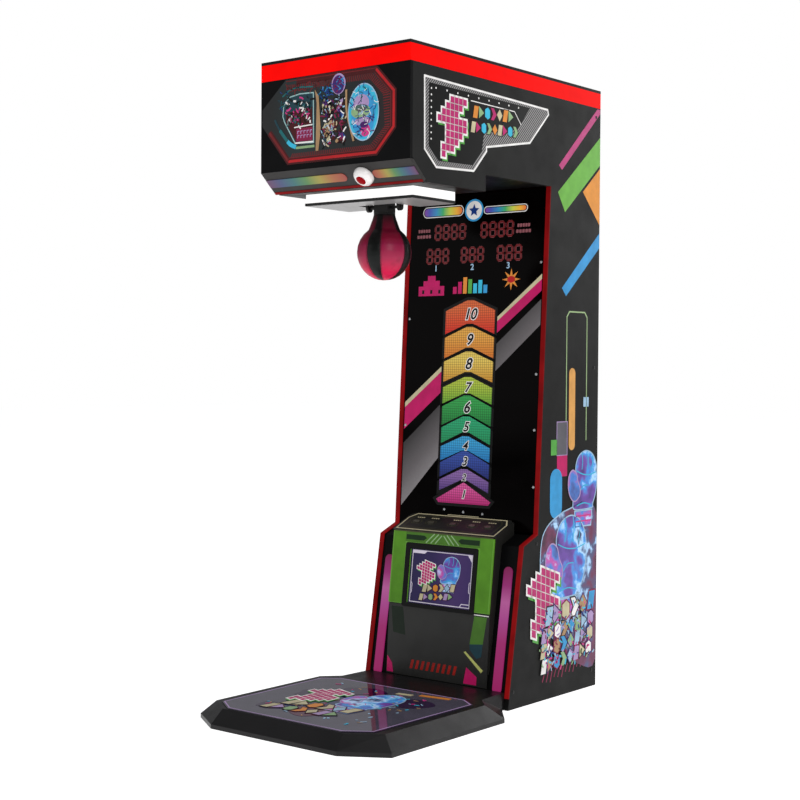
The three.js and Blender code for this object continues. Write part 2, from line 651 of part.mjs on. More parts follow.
// ---------------------------------------------------------------- console
function addConsoleBody() {
  const upper = offset([CONSOLE_BACK, CONSOLE_EDGE, CONSOLE_SEAM], -(CONSOLE_PANEL + GAP));
  const lower = offset([CONSOLE_SEAM_LOW, CONSOLE_FOOT], -(CONSOLE_LOWER_PANEL + GAP));
  const seamZ = CONSOLE_SEAM[1];
  const bottomZ = CONSOLE_BODY_BOTTOM;
  const hollowZ = CONSOLE_HOLLOW_BOTTOM;
  const behind = offset([GLASS_FOOT, KNEE, TOE], GAP - FRONT_INSET);
  const wall = offset(behind, 5);
  const backY = CONSOLE_BACK[0];
  const profile = [
    atDepth(upper[0], upper[1], backY),
    upper[1],
    atHeight(upper[1], upper[2], seamZ),
    atHeight(lower[0], lower[1], seamZ),
    atHeight(lower[0], lower[1], bottomZ),
    atHeight(behind[1], behind[2], bottomZ),
    behind[1],
    atDepth(behind[0], behind[1], backY),
  ];
  const hollow = [
    [backY - CONSOLE_PANEL, 700],
    [-700, 700],
    [-700, hollowZ],
    atHeight(wall[1], wall[2], hollowZ),
    wall[1],
    atDepth(wall[0], wall[1], backY - CONSOLE_PANEL),
  ];
  const inner = CONSOLE_HALF - CONSOLE_WALL;
  const body = cut(prism(profile, -CONSOLE_HALF, CONSOLE_HALF), prism(hollow, -inner, inner));
  piece("console_body", body, look.consoleBlack);
}

function addConsoleTop() {
  const { frame, length } = slope(CONSOLE_EDGE, CONSOLE_BACK);
  const half = CONSOLE_HALF + 2;
  const corner = CONSOLE_CORNER;
  const s = new THREE.Shape();
  s.moveTo(-half, 0);
  s.lineTo(half, 0);
  s.lineTo(half, length - corner);
  s.absarc(half - corner, length - corner, corner, 0, Math.PI / 2, false);
  s.lineTo(-half + corner, length);
  s.absarc(-half + corner, length - corner, corner, Math.PI / 2, Math.PI, false);
  const capsule = (x, larger) => stadium(BUTTON_SIZE[0] + larger, BUTTON_SIZE[1] + larger, x, BUTTON_UP);
  const holes = BUTTON_X.map((x) => plate(capsule(x, 1), -20, 20));
  piece("console_top_panel", cut(plate(s, -CONSOLE_PANEL, 0), ...holes), look.consoleBlack, frame);

  const under = -CONSOLE_PANEL - GAP;
  BUTTON_X.forEach((x, i) => {
    const button = join(
      plate(capsule(x, 0), under - 0.5, BUTTON_PROUD),
      plate(capsule(x, 5), under - 2.5, under),
      cylinderZ(4, under - 7, under - 2, x, BUTTON_UP, 16),
    );
    piece(`push_button_${i + 1}`, button, look.button, frame);
  });
  const boardTop = under - 7 - BUTTON_TRAVEL - GAP;
  const board = box(-190, 190, BUTTON_UP - 16, BUTTON_UP + 16, boardTop - 2, boardTop);
  piece("button_board", board, look.board, frame);
}

function addConsoleFront() {
  const half = CONSOLE_HALF - 2;
  const { frame, length } = slope(CONSOLE_SEAM, CONSOLE_EDGE);
  const panel = box(-half, half, 1, length - 8, -CONSOLE_PANEL, 0);
  const opening = box(-141, 141, 6, 204, -20, 20);
  piece("console_front_panel", cut(panel, opening), look.consoleGreen, frame);
  piece("console_screen", box(-150, 150, 2, 212, -22, -CONSOLE_PANEL - GAP), look.screen, frame);

  const low = slope(CONSOLE_FOOT, CONSOLE_SEAM_LOW);
  const panelLow = box(-half, half, 0, low.length - 2, -CONSOLE_LOWER_PANEL, 0);
  piece("console_lower_panel", panelLow, look.consoleBlack, low.frame);
}

// ---------------------------------------------------------------- platform
function addPlatform() {
  const outer = mirrored(PLATFORM_OUTER);
  const deck = mirrored(PLATFORM_DECK);
  const glass = mirrored(PLATFORM_GLASS);
  const wall = 8;
  const shell = stacked([[outer, 0], [outer, PLATFORM_SKIRT], [deck, PLATFORM_TOP]]);
  const hollow = stacked([
    [inset(outer, wall), -1],
    [inset(outer, wall), PLATFORM_SKIRT - 4],
    [inset(deck, wall), PLATFORM_TOP - DECK_PLATE],
  ]);
  const glassBottom = PLATFORM_TOP + GLASS_PROUD - GLASS_THICKNESS;
  const pocket = plate(outline(inset(glass, -1)), glassBottom - GAP, PLATFORM_TOP + 1);
  piece("platform_base", cut(shell, hollow, pocket), look.platform);
  piece("platform_glass", plate(outline(glass), glassBottom, glassBottom + GLASS_THICKNESS), look.deckGlass);
}

addSidePanels();
addEdgeLights();
addRoof();
addBaseAndBack();
addRearDoor();
addMainsInlet();
addHeadFront();
addChamfer();
addHeadFloor();
addStrikeLight();
addBag();
addCatch();
addScoreboard();
addLowerFront();
addConsoleBody();
addConsoleTop();
addConsoleFront();
addPlatform();

export default machine;
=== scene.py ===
"""Boxing punch machine: finishes, printed graphics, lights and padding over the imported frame.

The drawing tables are in millimetres from the frame's own datums: x from the machine's middle, y from
the cabinet's back with minus towards the player, and z above the floor. Each print lies on the plane of
a CAD node. Prints name their inks, which are the entries of INKS.
"""

import math
import random

import bmesh
import bpy
from mathutils import Matrix, Vector


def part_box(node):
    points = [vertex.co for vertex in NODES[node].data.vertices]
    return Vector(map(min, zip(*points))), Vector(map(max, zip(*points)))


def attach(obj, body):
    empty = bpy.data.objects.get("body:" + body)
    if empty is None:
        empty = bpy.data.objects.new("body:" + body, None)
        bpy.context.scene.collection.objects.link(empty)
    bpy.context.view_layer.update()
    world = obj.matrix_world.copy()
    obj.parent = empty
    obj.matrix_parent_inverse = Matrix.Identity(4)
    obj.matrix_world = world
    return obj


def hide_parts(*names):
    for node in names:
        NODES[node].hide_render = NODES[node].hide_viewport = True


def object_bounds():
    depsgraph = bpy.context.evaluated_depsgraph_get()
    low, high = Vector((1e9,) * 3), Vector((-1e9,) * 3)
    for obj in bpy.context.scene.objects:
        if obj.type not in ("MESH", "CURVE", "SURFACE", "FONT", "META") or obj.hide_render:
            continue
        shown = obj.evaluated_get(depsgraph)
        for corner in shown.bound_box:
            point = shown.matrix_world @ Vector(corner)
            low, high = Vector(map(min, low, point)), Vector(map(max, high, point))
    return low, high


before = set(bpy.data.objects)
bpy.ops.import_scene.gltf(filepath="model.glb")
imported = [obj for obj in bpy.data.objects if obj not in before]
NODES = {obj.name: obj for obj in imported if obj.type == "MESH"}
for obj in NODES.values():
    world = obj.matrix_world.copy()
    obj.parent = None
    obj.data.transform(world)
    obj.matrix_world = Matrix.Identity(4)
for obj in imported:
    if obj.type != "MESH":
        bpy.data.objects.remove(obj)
cad_low, cad_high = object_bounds()

MM = 0.001
LAYER = 0.25  # thickness of one printed layer, in mm
CLEAR = 0.02  # mm between a printed layer and what lies under it
BLACK = (0.0, 0.0, 0.0, 1.0)
CABINET_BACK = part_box("side_panel_right")[1].y
DATUM = Vector(((cad_low.x + cad_high.x) / 2, CABINET_BACK, cad_low.z))
FRONT = Vector((0, -1, 0))
BACK = Vector((0, 1, 0))
LEFT = Vector((-1, 0, 0))
RIGHT = Vector((1, 0, 0))
UP = Vector((0, 0, 1))


# ---------------------------------------------------------------- camera, floor and lights

CAMERA_AZIMUTH, CAMERA_ELEVATION, CAMERA_ROLL = 38.7785, 1.2304, 0.3684
CAMERA_PLACE = (3.2707, -4.1402, 1.1763)
CAMERA_LENS = 68.23


def new_object(name, data):
    made = bpy.data.objects.new(name, data)
    bpy.context.scene.collection.objects.link(made)
    return made


def add_camera():
    azimuth, elevation, roll = map(math.radians, (CAMERA_AZIMUTH, CAMERA_ELEVATION, CAMERA_ROLL))
    data = bpy.data.cameras.new("camera")
    data.lens = CAMERA_LENS
    data.sensor_width = 36
    data.clip_end = 100
    camera = new_object("camera", data)
    camera.matrix_world = (
        Matrix.Translation(CAMERA_PLACE)
        @ Matrix.Rotation(azimuth, 4, "Z")
        @ Matrix.Rotation(math.pi / 2 - elevation, 4, "X")
        @ Matrix.Rotation(roll, 4, "Z")
    )
    bpy.context.scene.camera = camera


def add_light(name, place, target, size, power):
    data = bpy.data.lights.new(name, "AREA")
    data.shape = "DISK"
    data.size = size
    data.energy = power
    lamp = new_object(name, data)
    lamp.location = place
    lamp.rotation_euler = (Vector(place) - Vector(target)).to_track_quat("Z", "Y").to_euler()


def add_world():
    """A softer surround to be lit by, and a white one to look at."""
    world = bpy.data.worlds.new("studio")
    world.use_nodes = True
    nodes, links = world.node_tree.nodes, world.node_tree.links
    nodes.clear()
    mix = nodes.new("ShaderNodeMixShader")
    path = nodes.new("ShaderNodeLightPath")
    output = nodes.new("ShaderNodeOutputWorld")
    links.new(path.outputs["Is Camera Ray"], mix.inputs["Fac"])
    links.new(mix.outputs["Shader"], output.inputs["Surface"])
    for socket, tint, strength in ((1, (0.97, 0.98, 1, 1), 0.27), (2, (1, 1, 1, 1), 1.0)):
        background = nodes.new("ShaderNodeBackground")
        background.inputs["Color"].default_value = tint
        background.inputs["Strength"].default_value = strength
        links.new(background.outputs["Background"], mix.inputs[socket])
    bpy.context.scene.world = world
    bpy.context.scene.view_settings.view_transform = "Standard"


# ---------------------------------------------------------------- materials


def linear(code):
    """The linear colour of a six-digit sRGB code."""
    values = [int(code[i:i + 2], 16) / 255 for i in (0, 2, 4)]
    return (*[v / 12.92 if v <= 0.04045 else ((v + 0.055) / 1.055) ** 2.4 for v in values], 1.0)


class Shader:
    """A Principled material and short ways to add the nodes that drive it."""

    def __init__(self, name, roughness=0.5, metallic=0.0, specular=0.5, coat=0.0):
        self.material = bpy.data.materials.new(name)
        self.material.use_nodes = True
        self.tree = self.material.node_tree
        self.surface = self.tree.nodes["Principled BSDF"]
        constants = {
            "Roughness": roughness, "Metallic": metallic, "Specular IOR Level": specular,
            "Coat Weight": coat, "Coat Roughness": 0.08,
        }
        for socket, value in constants.items():
            self.surface.inputs[socket].default_value = value
        self.place = self.add("TexCoord", {}, "Object")

    def put(self, socket, value):
        if isinstance(value, bpy.types.NodeSocket):
            self.tree.links.new(value, socket)
        else:
            socket.default_value = value

    def add(self, kind, inputs, output=0, **settings):
        """Adds a node, fills its inputs with values or links, and gives back one of its outputs."""
        node = self.tree.nodes.new(f"ShaderNode{kind}")
        for key, value in settings.items():
            setattr(node, key, value)
        for socket, value in inputs.items():
            self.put(node.inputs[socket], value)
        return node.outputs[output]

    def stretched(self, stretch):
        return self.add("Mapping", {"Vector": self.place, "Scale": stretch})

    def noise(self, scale, detail=3.0, stretch=(1, 1, 1)):
        vector = self.stretched(stretch)
        return self.add("TexNoise", {"Vector": vector, "Scale": scale, "Detail": detail}, "Fac")

    def cells(self, scale, randomness=1.0, feature="F1"):
        inputs = {"Vector": self.place, "Scale": scale, "Randomness": randomness}
        return self.add("TexVoronoi", inputs, "Distance", feature=feature)

    def axis(self, name):
        return self.add("SeparateXYZ", {0: self.place}, name)

    def dots(self, pitch):
        """A flat grid of dots, high in their middles."""
        waves = [
            self.math("SINE", self.math("MULTIPLY", self.axis(name), 2 * math.pi / pitch))
            for name in ("X", "Z")
        ]
        return self.math("MULTIPLY", *waves)

    def along(self, name, low, high):
        """0 to 1 between two places on an axis, in metres."""
        return self.span(self.axis(name), low, high)

    def span(self, value, low, high, start=0.0, end=1.0):
        limits = {"From Min": low, "From Max": high, "To Min": start, "To Max": end}
        return self.add("MapRange", {"Value": value, **limits}, "Result")

    def ramp(self, factor, stops):
        node = self.tree.nodes.new("ShaderNodeValToRGB")
        elements = node.color_ramp.elements
        while len(elements) < len(stops):
            elements.new(0.5)
        for element, (position, code) in zip(elements, stops):
            element.position = position
            element.color = linear(code)
        self.put(node.inputs["Fac"], factor)
        return node.outputs["Color"]

    def mix(self, factor, first, second):
        return self.add("Mix", {0: factor, 6: first, 7: second}, 2, data_type="RGBA")

    def math(self, operation, first, second=0.0):
        return self.add("Math", {0: first, 1: second}, operation=operation)

    def mottle(self, factor, low, high, first, second):
        """Two tones, given as codes, mixed by a factor between its low and high."""
        return self.mix(self.span(factor, low, high), linear(first), linear(second))

    def colour(self, value):
        self.put(self.surface.inputs["Base Color"], value)

    def glow(self, value, strength):
        self.put(self.surface.inputs["Emission Color"], value)
        self.surface.inputs["Emission Strength"].default_value = strength

    def lit(self, tone, strength, share=1.0):
        """A glowing tone, with a share of it in the surface's own colour."""
        self.colour(tone if share == 1.0 else self.mix(1.0 - share, tone, BLACK))
        self.glow(tone, strength)

    def bump(self, height, strength, depth):
        inputs = {"Strength": strength, "Distance": depth, "Height": height}
        self.put(self.surface.inputs["Normal"], self.add("Bump", inputs, "Normal"))

    def rough(self, factor, low, high):
        self.put(self.surface.inputs["Roughness"], self.span(factor, 0.3, 0.7, low, high))


def coated(name, code, worn, roughness, grain, depth, specular, coat=0.0):
    """A moulded, painted or vinyl surface: a soft mottle between two tones, fine grain and uneven sheen."""
    shader = Shader(name, roughness, 0.0, specular, coat)
    shader.colour(shader.mottle(shader.noise(6.0, 5.0), 0.35, 0.7, code, worn))
    shader.rough(shader.noise(14.0, 4.0), roughness * 0.85, min(1.0, roughness * 1.2))
    shader.bump(shader.noise(grain, 2.0), 0.6, depth)
    return shader.material


INK_SHARE = 0.68  # how bright an ink is beside its code
INK_MOTTLE = 0.75  # how bright its darker patches are beside the rest


def ink(name, code, glow, roughness=0.3, specular=0.15):
    """A print under a clear film, with a trace of uneven ink."""
    shader = Shader(name, roughness, 0.0, specular)
    base = tuple(v * INK_SHARE for v in linear(code)[:3]) + (1.0,)
    deep = tuple(v * INK_MOTTLE for v in base[:3]) + (1.0,)
    shader.lit(shader.mix(shader.span(shader.noise(22.0, 4.0), 0.3, 0.75), base, deep), glow)
    shader.bump(shader.noise(500.0, 2.0), 0.3, 0.00003)
    return shader.material


def lamp_cover(name, code, glow, edge, roughness=0.35):
    """A lit diffuser: milky plastic that glows, a little uneven between its lamps."""
    shader = Shader(name, roughness, 0.0, 0.03)
    shader.lit(shader.mottle(shader.noise(9.0, 2.0), 0.35, 0.7, code, edge), glow, 0.07)
    shader.bump(shader.noise(700.0, 2.0), 0.3, 0.00004)
    return shader.material


def rainbow(name, axis, low, high, stops, glow, share=0.8, dots=0.0):
    """A lit strip whose colour runs along one axis, with a grid of dots if their spacing is given."""
    shader = Shader(name, 0.3, 0.0, 0.25)
    tone = shader.ramp(shader.along(axis, low, high), stops)
    if dots:
        spots = shader.span(shader.math("ABSOLUTE", shader.dots(2 * dots)), 0.12, 0.45)
        gaps = shader.math("MULTIPLY", shader.math("SUBTRACT", 1.0, spots), 0.5)
        tone = shader.mix(gaps, tone, (0.004, 0.004, 0.006, 1.0))
    shader.lit(tone, glow, share)
    shader.bump(shader.noise(600.0, 2.0), 0.3, 0.00003)
    return shader.material


def brushed(name, code, worn, roughness):
    shader = Shader(name, roughness, 1.0, 0.5)
    lines = shader.noise(40.0, 4.0, (1, 1, 30))
    shader.colour(shader.mottle(lines, 0.3, 0.7, code, worn))
    shader.rough(lines, roughness * 0.8, roughness * 1.3)
    shader.bump(lines, 0.3, 0.00004)
    return shader.material


def leather(name, stops):
    """Bag leather: pebbled grain with fine creases, its tone running from foot to neck, lighter at the foot
    and darker at the neck; on the crimson gores that change is a painted reflection.
    """
    low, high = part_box("punch_bag")
    shader = Shader(name, 0.4, 0.0, 0.16, 0.04)
    tone = shader.ramp(shader.along("Z", low.z, high.z), stops)
    scuffs = shader.math("MULTIPLY", shader.span(shader.noise(35.0, 6.0), 0.55, 0.8), 0.35)
    shader.colour(shader.mix(scuffs, tone, (0.02, 0.012, 0.015, 1)))
    creases = shader.math("MULTIPLY", shader.noise(60.0, 5.0), 1.5)
    shader.bump(shader.math("ADD", shader.cells(420.0), creases), 0.55, 0.0004)
    shader.rough(shader.noise(30.0, 5.0), 0.3, 0.5)
    return shader.material


def circuit(name):
    shader = Shader(name, 0.4, 0.0, 0.4)
    tracks = shader.cells(160.0, 0.6, "DISTANCE_TO_EDGE")
    shader.colour(shader.mottle(tracks, 0.02, 0.06, "7d8f3c", "16401f"))
    shader.bump(tracks, 0.5, 0.0003)
    return shader.material


def chipboard(name):
    shader = Shader(name, 0.85, 0.0, 0.2)
    fibres = shader.noise(180.0, 6.0, (1, 1, 0.4))
    shader.colour(shader.ramp(fibres, [(0.25, "6f5638"), (0.55, "9a7d55"), (0.85, "b79a70")]))
    shader.bump(fibres, 0.7, 0.0004)
    return shader.material


def dark_glass(name, code, edge, roughness, specular):
    shader = Shader(name, roughness, 0.0, specular)
    smears = shader.noise(3.0, 5.0, (1, 1, 2.5))
    shader.colour(shader.mottle(smears, 0.3, 0.8, code, edge))
    shader.rough(smears, roughness, roughness * 2.5)
    shader.bump(shader.noise(4.0, 2.0), 0.15, 0.0005)
    return shader.material


def grey_band():
    shader = Shader("ink_grey_band", 0.3, 0.0, 0.25)
    across = shader.span(shader.math("SUBTRACT", shader.axis("Z"), shader.axis("X")), 0.95, 1.18)
    tone = shader.ramp(across, [(0.0, "807c7e"), (0.45, "5c585a"), (1.0, "2c2a2b")])
    fine = shader.math("MULTIPLY", shader.noise(120.0, 3.0), 0.25)
    shader.lit(shader.mix(fine, tone, linear("3c383a")), 0.2)
    return shader.material


def hatch():
    """Fine slanting lines, pale on dark."""
    shader = Shader("ink_hatch", 0.35, 0.0, 0.25)
    inputs = {"Vector": shader.stretched((0, 1, -1)), "Scale": 58.0}
    wave = shader.add("TexWave", inputs, "Fac", bands_direction="DIAGONAL")
    shader.lit(shader.mottle(wave, 0.35, 0.65, "101010", "8c8a8a"), 0.1)
    return shader.material


def neon(name, dark, bright, other):
    """Swirls of lit colour."""
    shader = Shader(name, 0.3, 0.0, 0.25)
    stops = [(0.25, dark), (0.45, other), (0.55, bright), (0.62, "9fc4e8"), (0.7, dark)]
    shader.lit(shader.ramp(shader.noise(11.0, 6.0), stops), 0.4)
    return shader.material


# Tones from foot to neck of the bag, and from left to right or from the foot up of the lights. The crimson
# bag's change from a bright foot to a dark neck is a painted reflection, and the magenta bar's lighter band
# is a painted highlight.
BAG_TONES_WITH_PAINTED_REFLECTION = [
    (0.0, "d8164c"), (0.12, "cc1a48"), (0.32, "a0284a"), (0.52, "84123a"),
    (0.62, "760428"), (0.85, "58041e"), (1.0, "141012"),
]
BLACK_TONES = [(0.0, "121011"), (0.35, "0a0f0d"), (0.6, "090a0a"), (0.8, "060405"), (1.0, "080808")]
OVAL_TONES = ["8a3a9a", "4a55b0", "3a8fc0", "45b06a", "c8d050", "f0b040", "e05040"]
LENS_TONES = ["6c4668", "4a5680", "3c7478", "5c8c54", "a89c48", "b06c44", "a44a42"]
MARQUEE_TONES = [
    (0.0, "0c0c0e"), (0.1, "0a0e10"), (0.3, "0a2224"), (0.55, "081214"), (0.8, "080c10"), (1.0, "1c0608"),
]
# The magenta bar's lighter stops, from 0.58 to 0.72 up the bar, are a painted highlight on the lamp.
MAGENTA_TONES_WITH_PAINTED_HIGHLIGHT = [
    (0.0, "b0246e"), (0.4, "b4307c"), (0.58, "c050a0"), (0.72, "cc68ac"), (0.85, "a83080"), (1.0, "8a1b56"),
]
SCREEN_TONES = [(0.0, "1a1638"), (0.35, "20163f"), (0.7, "34224f"), (1.0, "2a1c4a")]


def spread(codes):
    return [(i / (len(codes) - 1), code) for i, code in enumerate(codes)]


def lens(name, node, codes):
    """The rainbow of one of the two lenses on the chamfer."""
    low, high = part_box(node)
    return rainbow(name, "X", low.x, high.x, spread(codes), 0.45, 0.4)


def slot_finishes():
    """The finish of each of the record's material slots."""
    lamp_low, lamp_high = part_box("side_light_right")
    # the magenta bar's tones hold a painted highlight, a lighter band in its upper middle
    lamp = rainbow("magenta_light_bar_painted_highlight", "Z", lamp_low.z, lamp_high.z, MAGENTA_TONES_WITH_PAINTED_HIGHLIGHT, 0.6, 0.07)
    return {
        "cabinet_board": coated("cabinet_vinyl", "171717", "1c1c1b", 0.46, 1400.0, 0.00008, 0.08),
        # the head's vinyl is the cabinet vinyl made darker: painted shade
        "head_board": coated("head_vinyl_painted_shade", "0a0a0b", "0e0e0f", 0.4, 1400.0, 0.00006, 0.04),
        "bare_board": chipboard("raw_board"),
        "red_light": lamp_cover("red_light_bar", "ff0400", 1.0, "f00200"),
        "red_trim": lamp_cover("red_edge_light", "a51518", 0.55, "7c0d10"),
        "white_light": lamp_cover("white_light_panel", "ffffff", 1.1, "fbf8f6"),
        "magenta_light": lamp,
        "rainbow_light": lens("rainbow_lens", "rainbow_lens_left", LENS_TONES),
        "white_plastic": coated("beacon_white", "e6e2e0", "f4f2f0", 0.25, 500.0, 0.00003, 0.5, 0.4),
        "red_lens": lamp_cover("beacon_red", "d01620", 0.5, "b01018", 0.12),
        "black_metal": coated("black_enamel", "0c0c0c", "121212", 0.38, 900.0, 0.00005, 0.22),
        "zinc_steel": brushed("zinc_plate", "9a9da0", "b8bbbd", 0.35),
        # the crimson ramp is a painted reflection: bright at the foot, dark at the neck
        "bag_leather": leather("bag_crimson_painted_reflection", BAG_TONES_WITH_PAINTED_REFLECTION),
        "rubber": coated("rubber", "151515", "232323", 0.8, 400.0, 0.0003, 0.2),
        "score_glass": dark_glass("score_glass_black", "020101", "040202", 0.08, 0.03),
        "marquee_acrylic": rainbow("marquee_backing", "X", -0.33, 0.28, MARQUEE_TONES, 0.25),
        "deck_glass": dark_glass("deck_glass_tint", "2c2438", "3a3046", 0.07, 0.7),
        "console_plastic": coated("console_satin", "1e1e1c", "262624", 0.38, 1100.0, 0.00008, 0.3),
        "console_green": coated("console_green", "5d9a26", "6aa82f", 0.35, 900.0, 0.00005, 0.4),
        "screen": rainbow("screen_picture", "X", -0.15, 0.15, SCREEN_TONES, 0.7),
        "button_plastic": coated("button_cap", "3a3830", "5a564a", 0.28, 600.0, 0.00004, 0.5, 0.3),
        "platform_paint": coated("deck_powder_coat", "141314", "191819", 0.36, 2200.0, 0.00012, 0.24),
        "circuit_board": circuit("circuit_board"),
        "black_plastic": coated("black_plastic", "17171a", "202023", 0.5, 900.0, 0.0001, 0.4),
    }


# The inks, each with its colour and how strongly it glows.
INK_CODES = {
    "white": ("f2f0ee", 0.5), "black": ("020202", 0.0), "black_gloss": ("0b0b0b", 0.0),
    "cream": ("cfc5a0", 0.4), "glass_magenta": ("c41664", 0.45), "blue": ("3aa0dc", 0.4),
    "blue_deep": ("1c3f8c", 0.4), "pale_blue": ("a5c8e4", 0.4), "cyan": ("3cc0e4", 0.4),
    "orange": ("e8923c", 0.4), "green": ("5cae4c", 0.35), "green_pale": ("9cc08c", 0.3),
    "pale_green": ("a9c58f", 0.3), "red": ("b81a20", 0.5), "red_soft": ("a82018", 0.3),
    "maroon": ("4c0a10", 0.25), "dull_red": ("7c1c20", 0.25), "dark_pink": ("8c1848", 0.35),
    "lilac": ("b89ccc", 0.35), "purple": ("4c1c6c", 0.35), "pink_hot": ("d83c8c", 0.4),
    "teal": ("1c6c70", 0.3), "teal_dark": ("1c4450", 0.2), "pale_teal": ("a8d0d0", 0.35),
    "segment": ("6a1518", 0.5), "segment_rim": ("a06068", 0.25), "stripe_magenta": ("cf4489", 0.2),
    "stripe_green": ("76c447", 0.2), "stripe_orange": ("f9a033", 0.2), "stripe_blue": ("37a6ea", 0.2),
    "bar_orange": ("f0b060", 0.25), "grey_box": ("6c6a72", 0.15), "olive": ("56543c", 0.1),
    "dark_green": ("1c3a1c", 0.1), "moss": ("568a30", 0.15), "console_green": ("64a42c", 0.15),
    "bolt_pink": ("c42c74", 0.35), "tan": ("b8946c", 0.3), "shade_green": ("1a2c1c", 0.05),
    "plate_pale": ("9e9c9c", 0.22), "yellow": ("d8dc80", 0.25), "screen_white": ("dcd4e4", 0.6),
}
GLOSSY_CODES = {"deck_field": "625c70", "deck_blue": "1c2c74", "deck_plum": "3c1c50", "deck_wine": "6c1848"}


def make_inks():
    inks = {name: ink(f"ink_{name}", code, glow) for name, (code, glow) in INK_CODES.items()}
    for name, code in GLOSSY_CODES.items():
        inks[name] = ink(f"glossy_{name}", code, 0.1, 0.05, 0.6)
    inks["grey_band"] = grey_band()
    inks["hatch"] = hatch()
    inks["neon"] = neon("neon_blue", "1a1c4c", "2f7fc4", "5c3a8c")
    inks["neon_warm"] = neon("neon_warm", "341a4c", "a83c8c", "3a6cb4")
    inks["neon_dim"] = neon("neon_dim", "14101c", "3c4468", "5c2444")
    return inks


# ---------------------------------------------------------------- drawing on faces


class Face:
    """The largest flat face of a CAD node that looks towards a direction, as a sheet to draw on.

    A point on it is given by the two axes the face lies along, in millimetres from the datum.
    """

    def __init__(self, node, towards):
        areas = {}
        for polygon in NODES[node].data.polygons:
            if polygon.normal.dot(towards) > 0.5:
                key = tuple(round(c, 2) for c in polygon.normal)
                areas.setdefault(key, []).append(polygon)
        largest = max(areas.values(), key=lambda found: sum(p.area for p in found))
        self.normal = sum((p.normal * p.area for p in largest), Vector()).normalized()
        self.depth = max(self.normal.dot(p.center) for p in largest)
        self.solved = max(range(3), key=lambda i: abs(self.normal[i]))
        self.free = [i for i in range(3) if i != self.solved]

    def at(self, a, b, lift=0.0):
        point = Vector((0, 0, 0))
        for axis, value in zip(self.free, (a, b)):
            point[axis] = DATUM[axis] + value * MM
        point[self.solved] = (self.depth - self.normal.dot(point)) / self.normal[self.solved]
        return point + self.normal * lift * MM


def piece(name, built, finishes, body="root"):
    """Makes a built mesh an object that rides on a body."""
    bmesh.ops.recalc_face_normals(built, faces=built.faces)
    mesh = bpy.data.meshes.new(name)
    built.to_mesh(mesh)
    built.free()
    for finish in finishes:
        mesh.materials.append(finish)
    made = new_object(name, mesh)
    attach(made, body)
    return made


MITRE_LIMIT = 0.35  # keeps the corners of sharp bends short


def line_sides(points, width, closed):
    """The left and right edges of a line of some width, mitred at its bends."""
    path = [Vector(p) for p in points]
    left, right = [], []
    count = len(path)
    for i, point in enumerate(path):
        came = point - path[i - 1] if closed or i else None
        goes = path[(i + 1) % count] - point if closed or i < count - 1 else None
        came = (came or goes).normalized()
        goes = (goes or came).normalized()
        normal = Vector((-(came.y + goes.y), came.x + goes.x)).normalized()
        reach = width / 2 / max(MITRE_LIMIT, normal.dot(Vector((-came.y, came.x))))
        left.append(point + normal * reach)
        right.append(point - normal * reach)
    return left, right


def bridge(built, low, high, index=0, closed=True):
    """Quads between two rows of vertices, with a material's index."""
    count = len(low)
    made = []
    for i in range(count if closed else count - 1):
        j = (i + 1) % count
        made.append(built.faces.new([low[i], low[j], high[j], high[i]]))
        made[-1].material_index = index
    return made


CAPITAL_HEIGHT = 0.7  # height of a digit of Blender's own font, as a share of the font's size


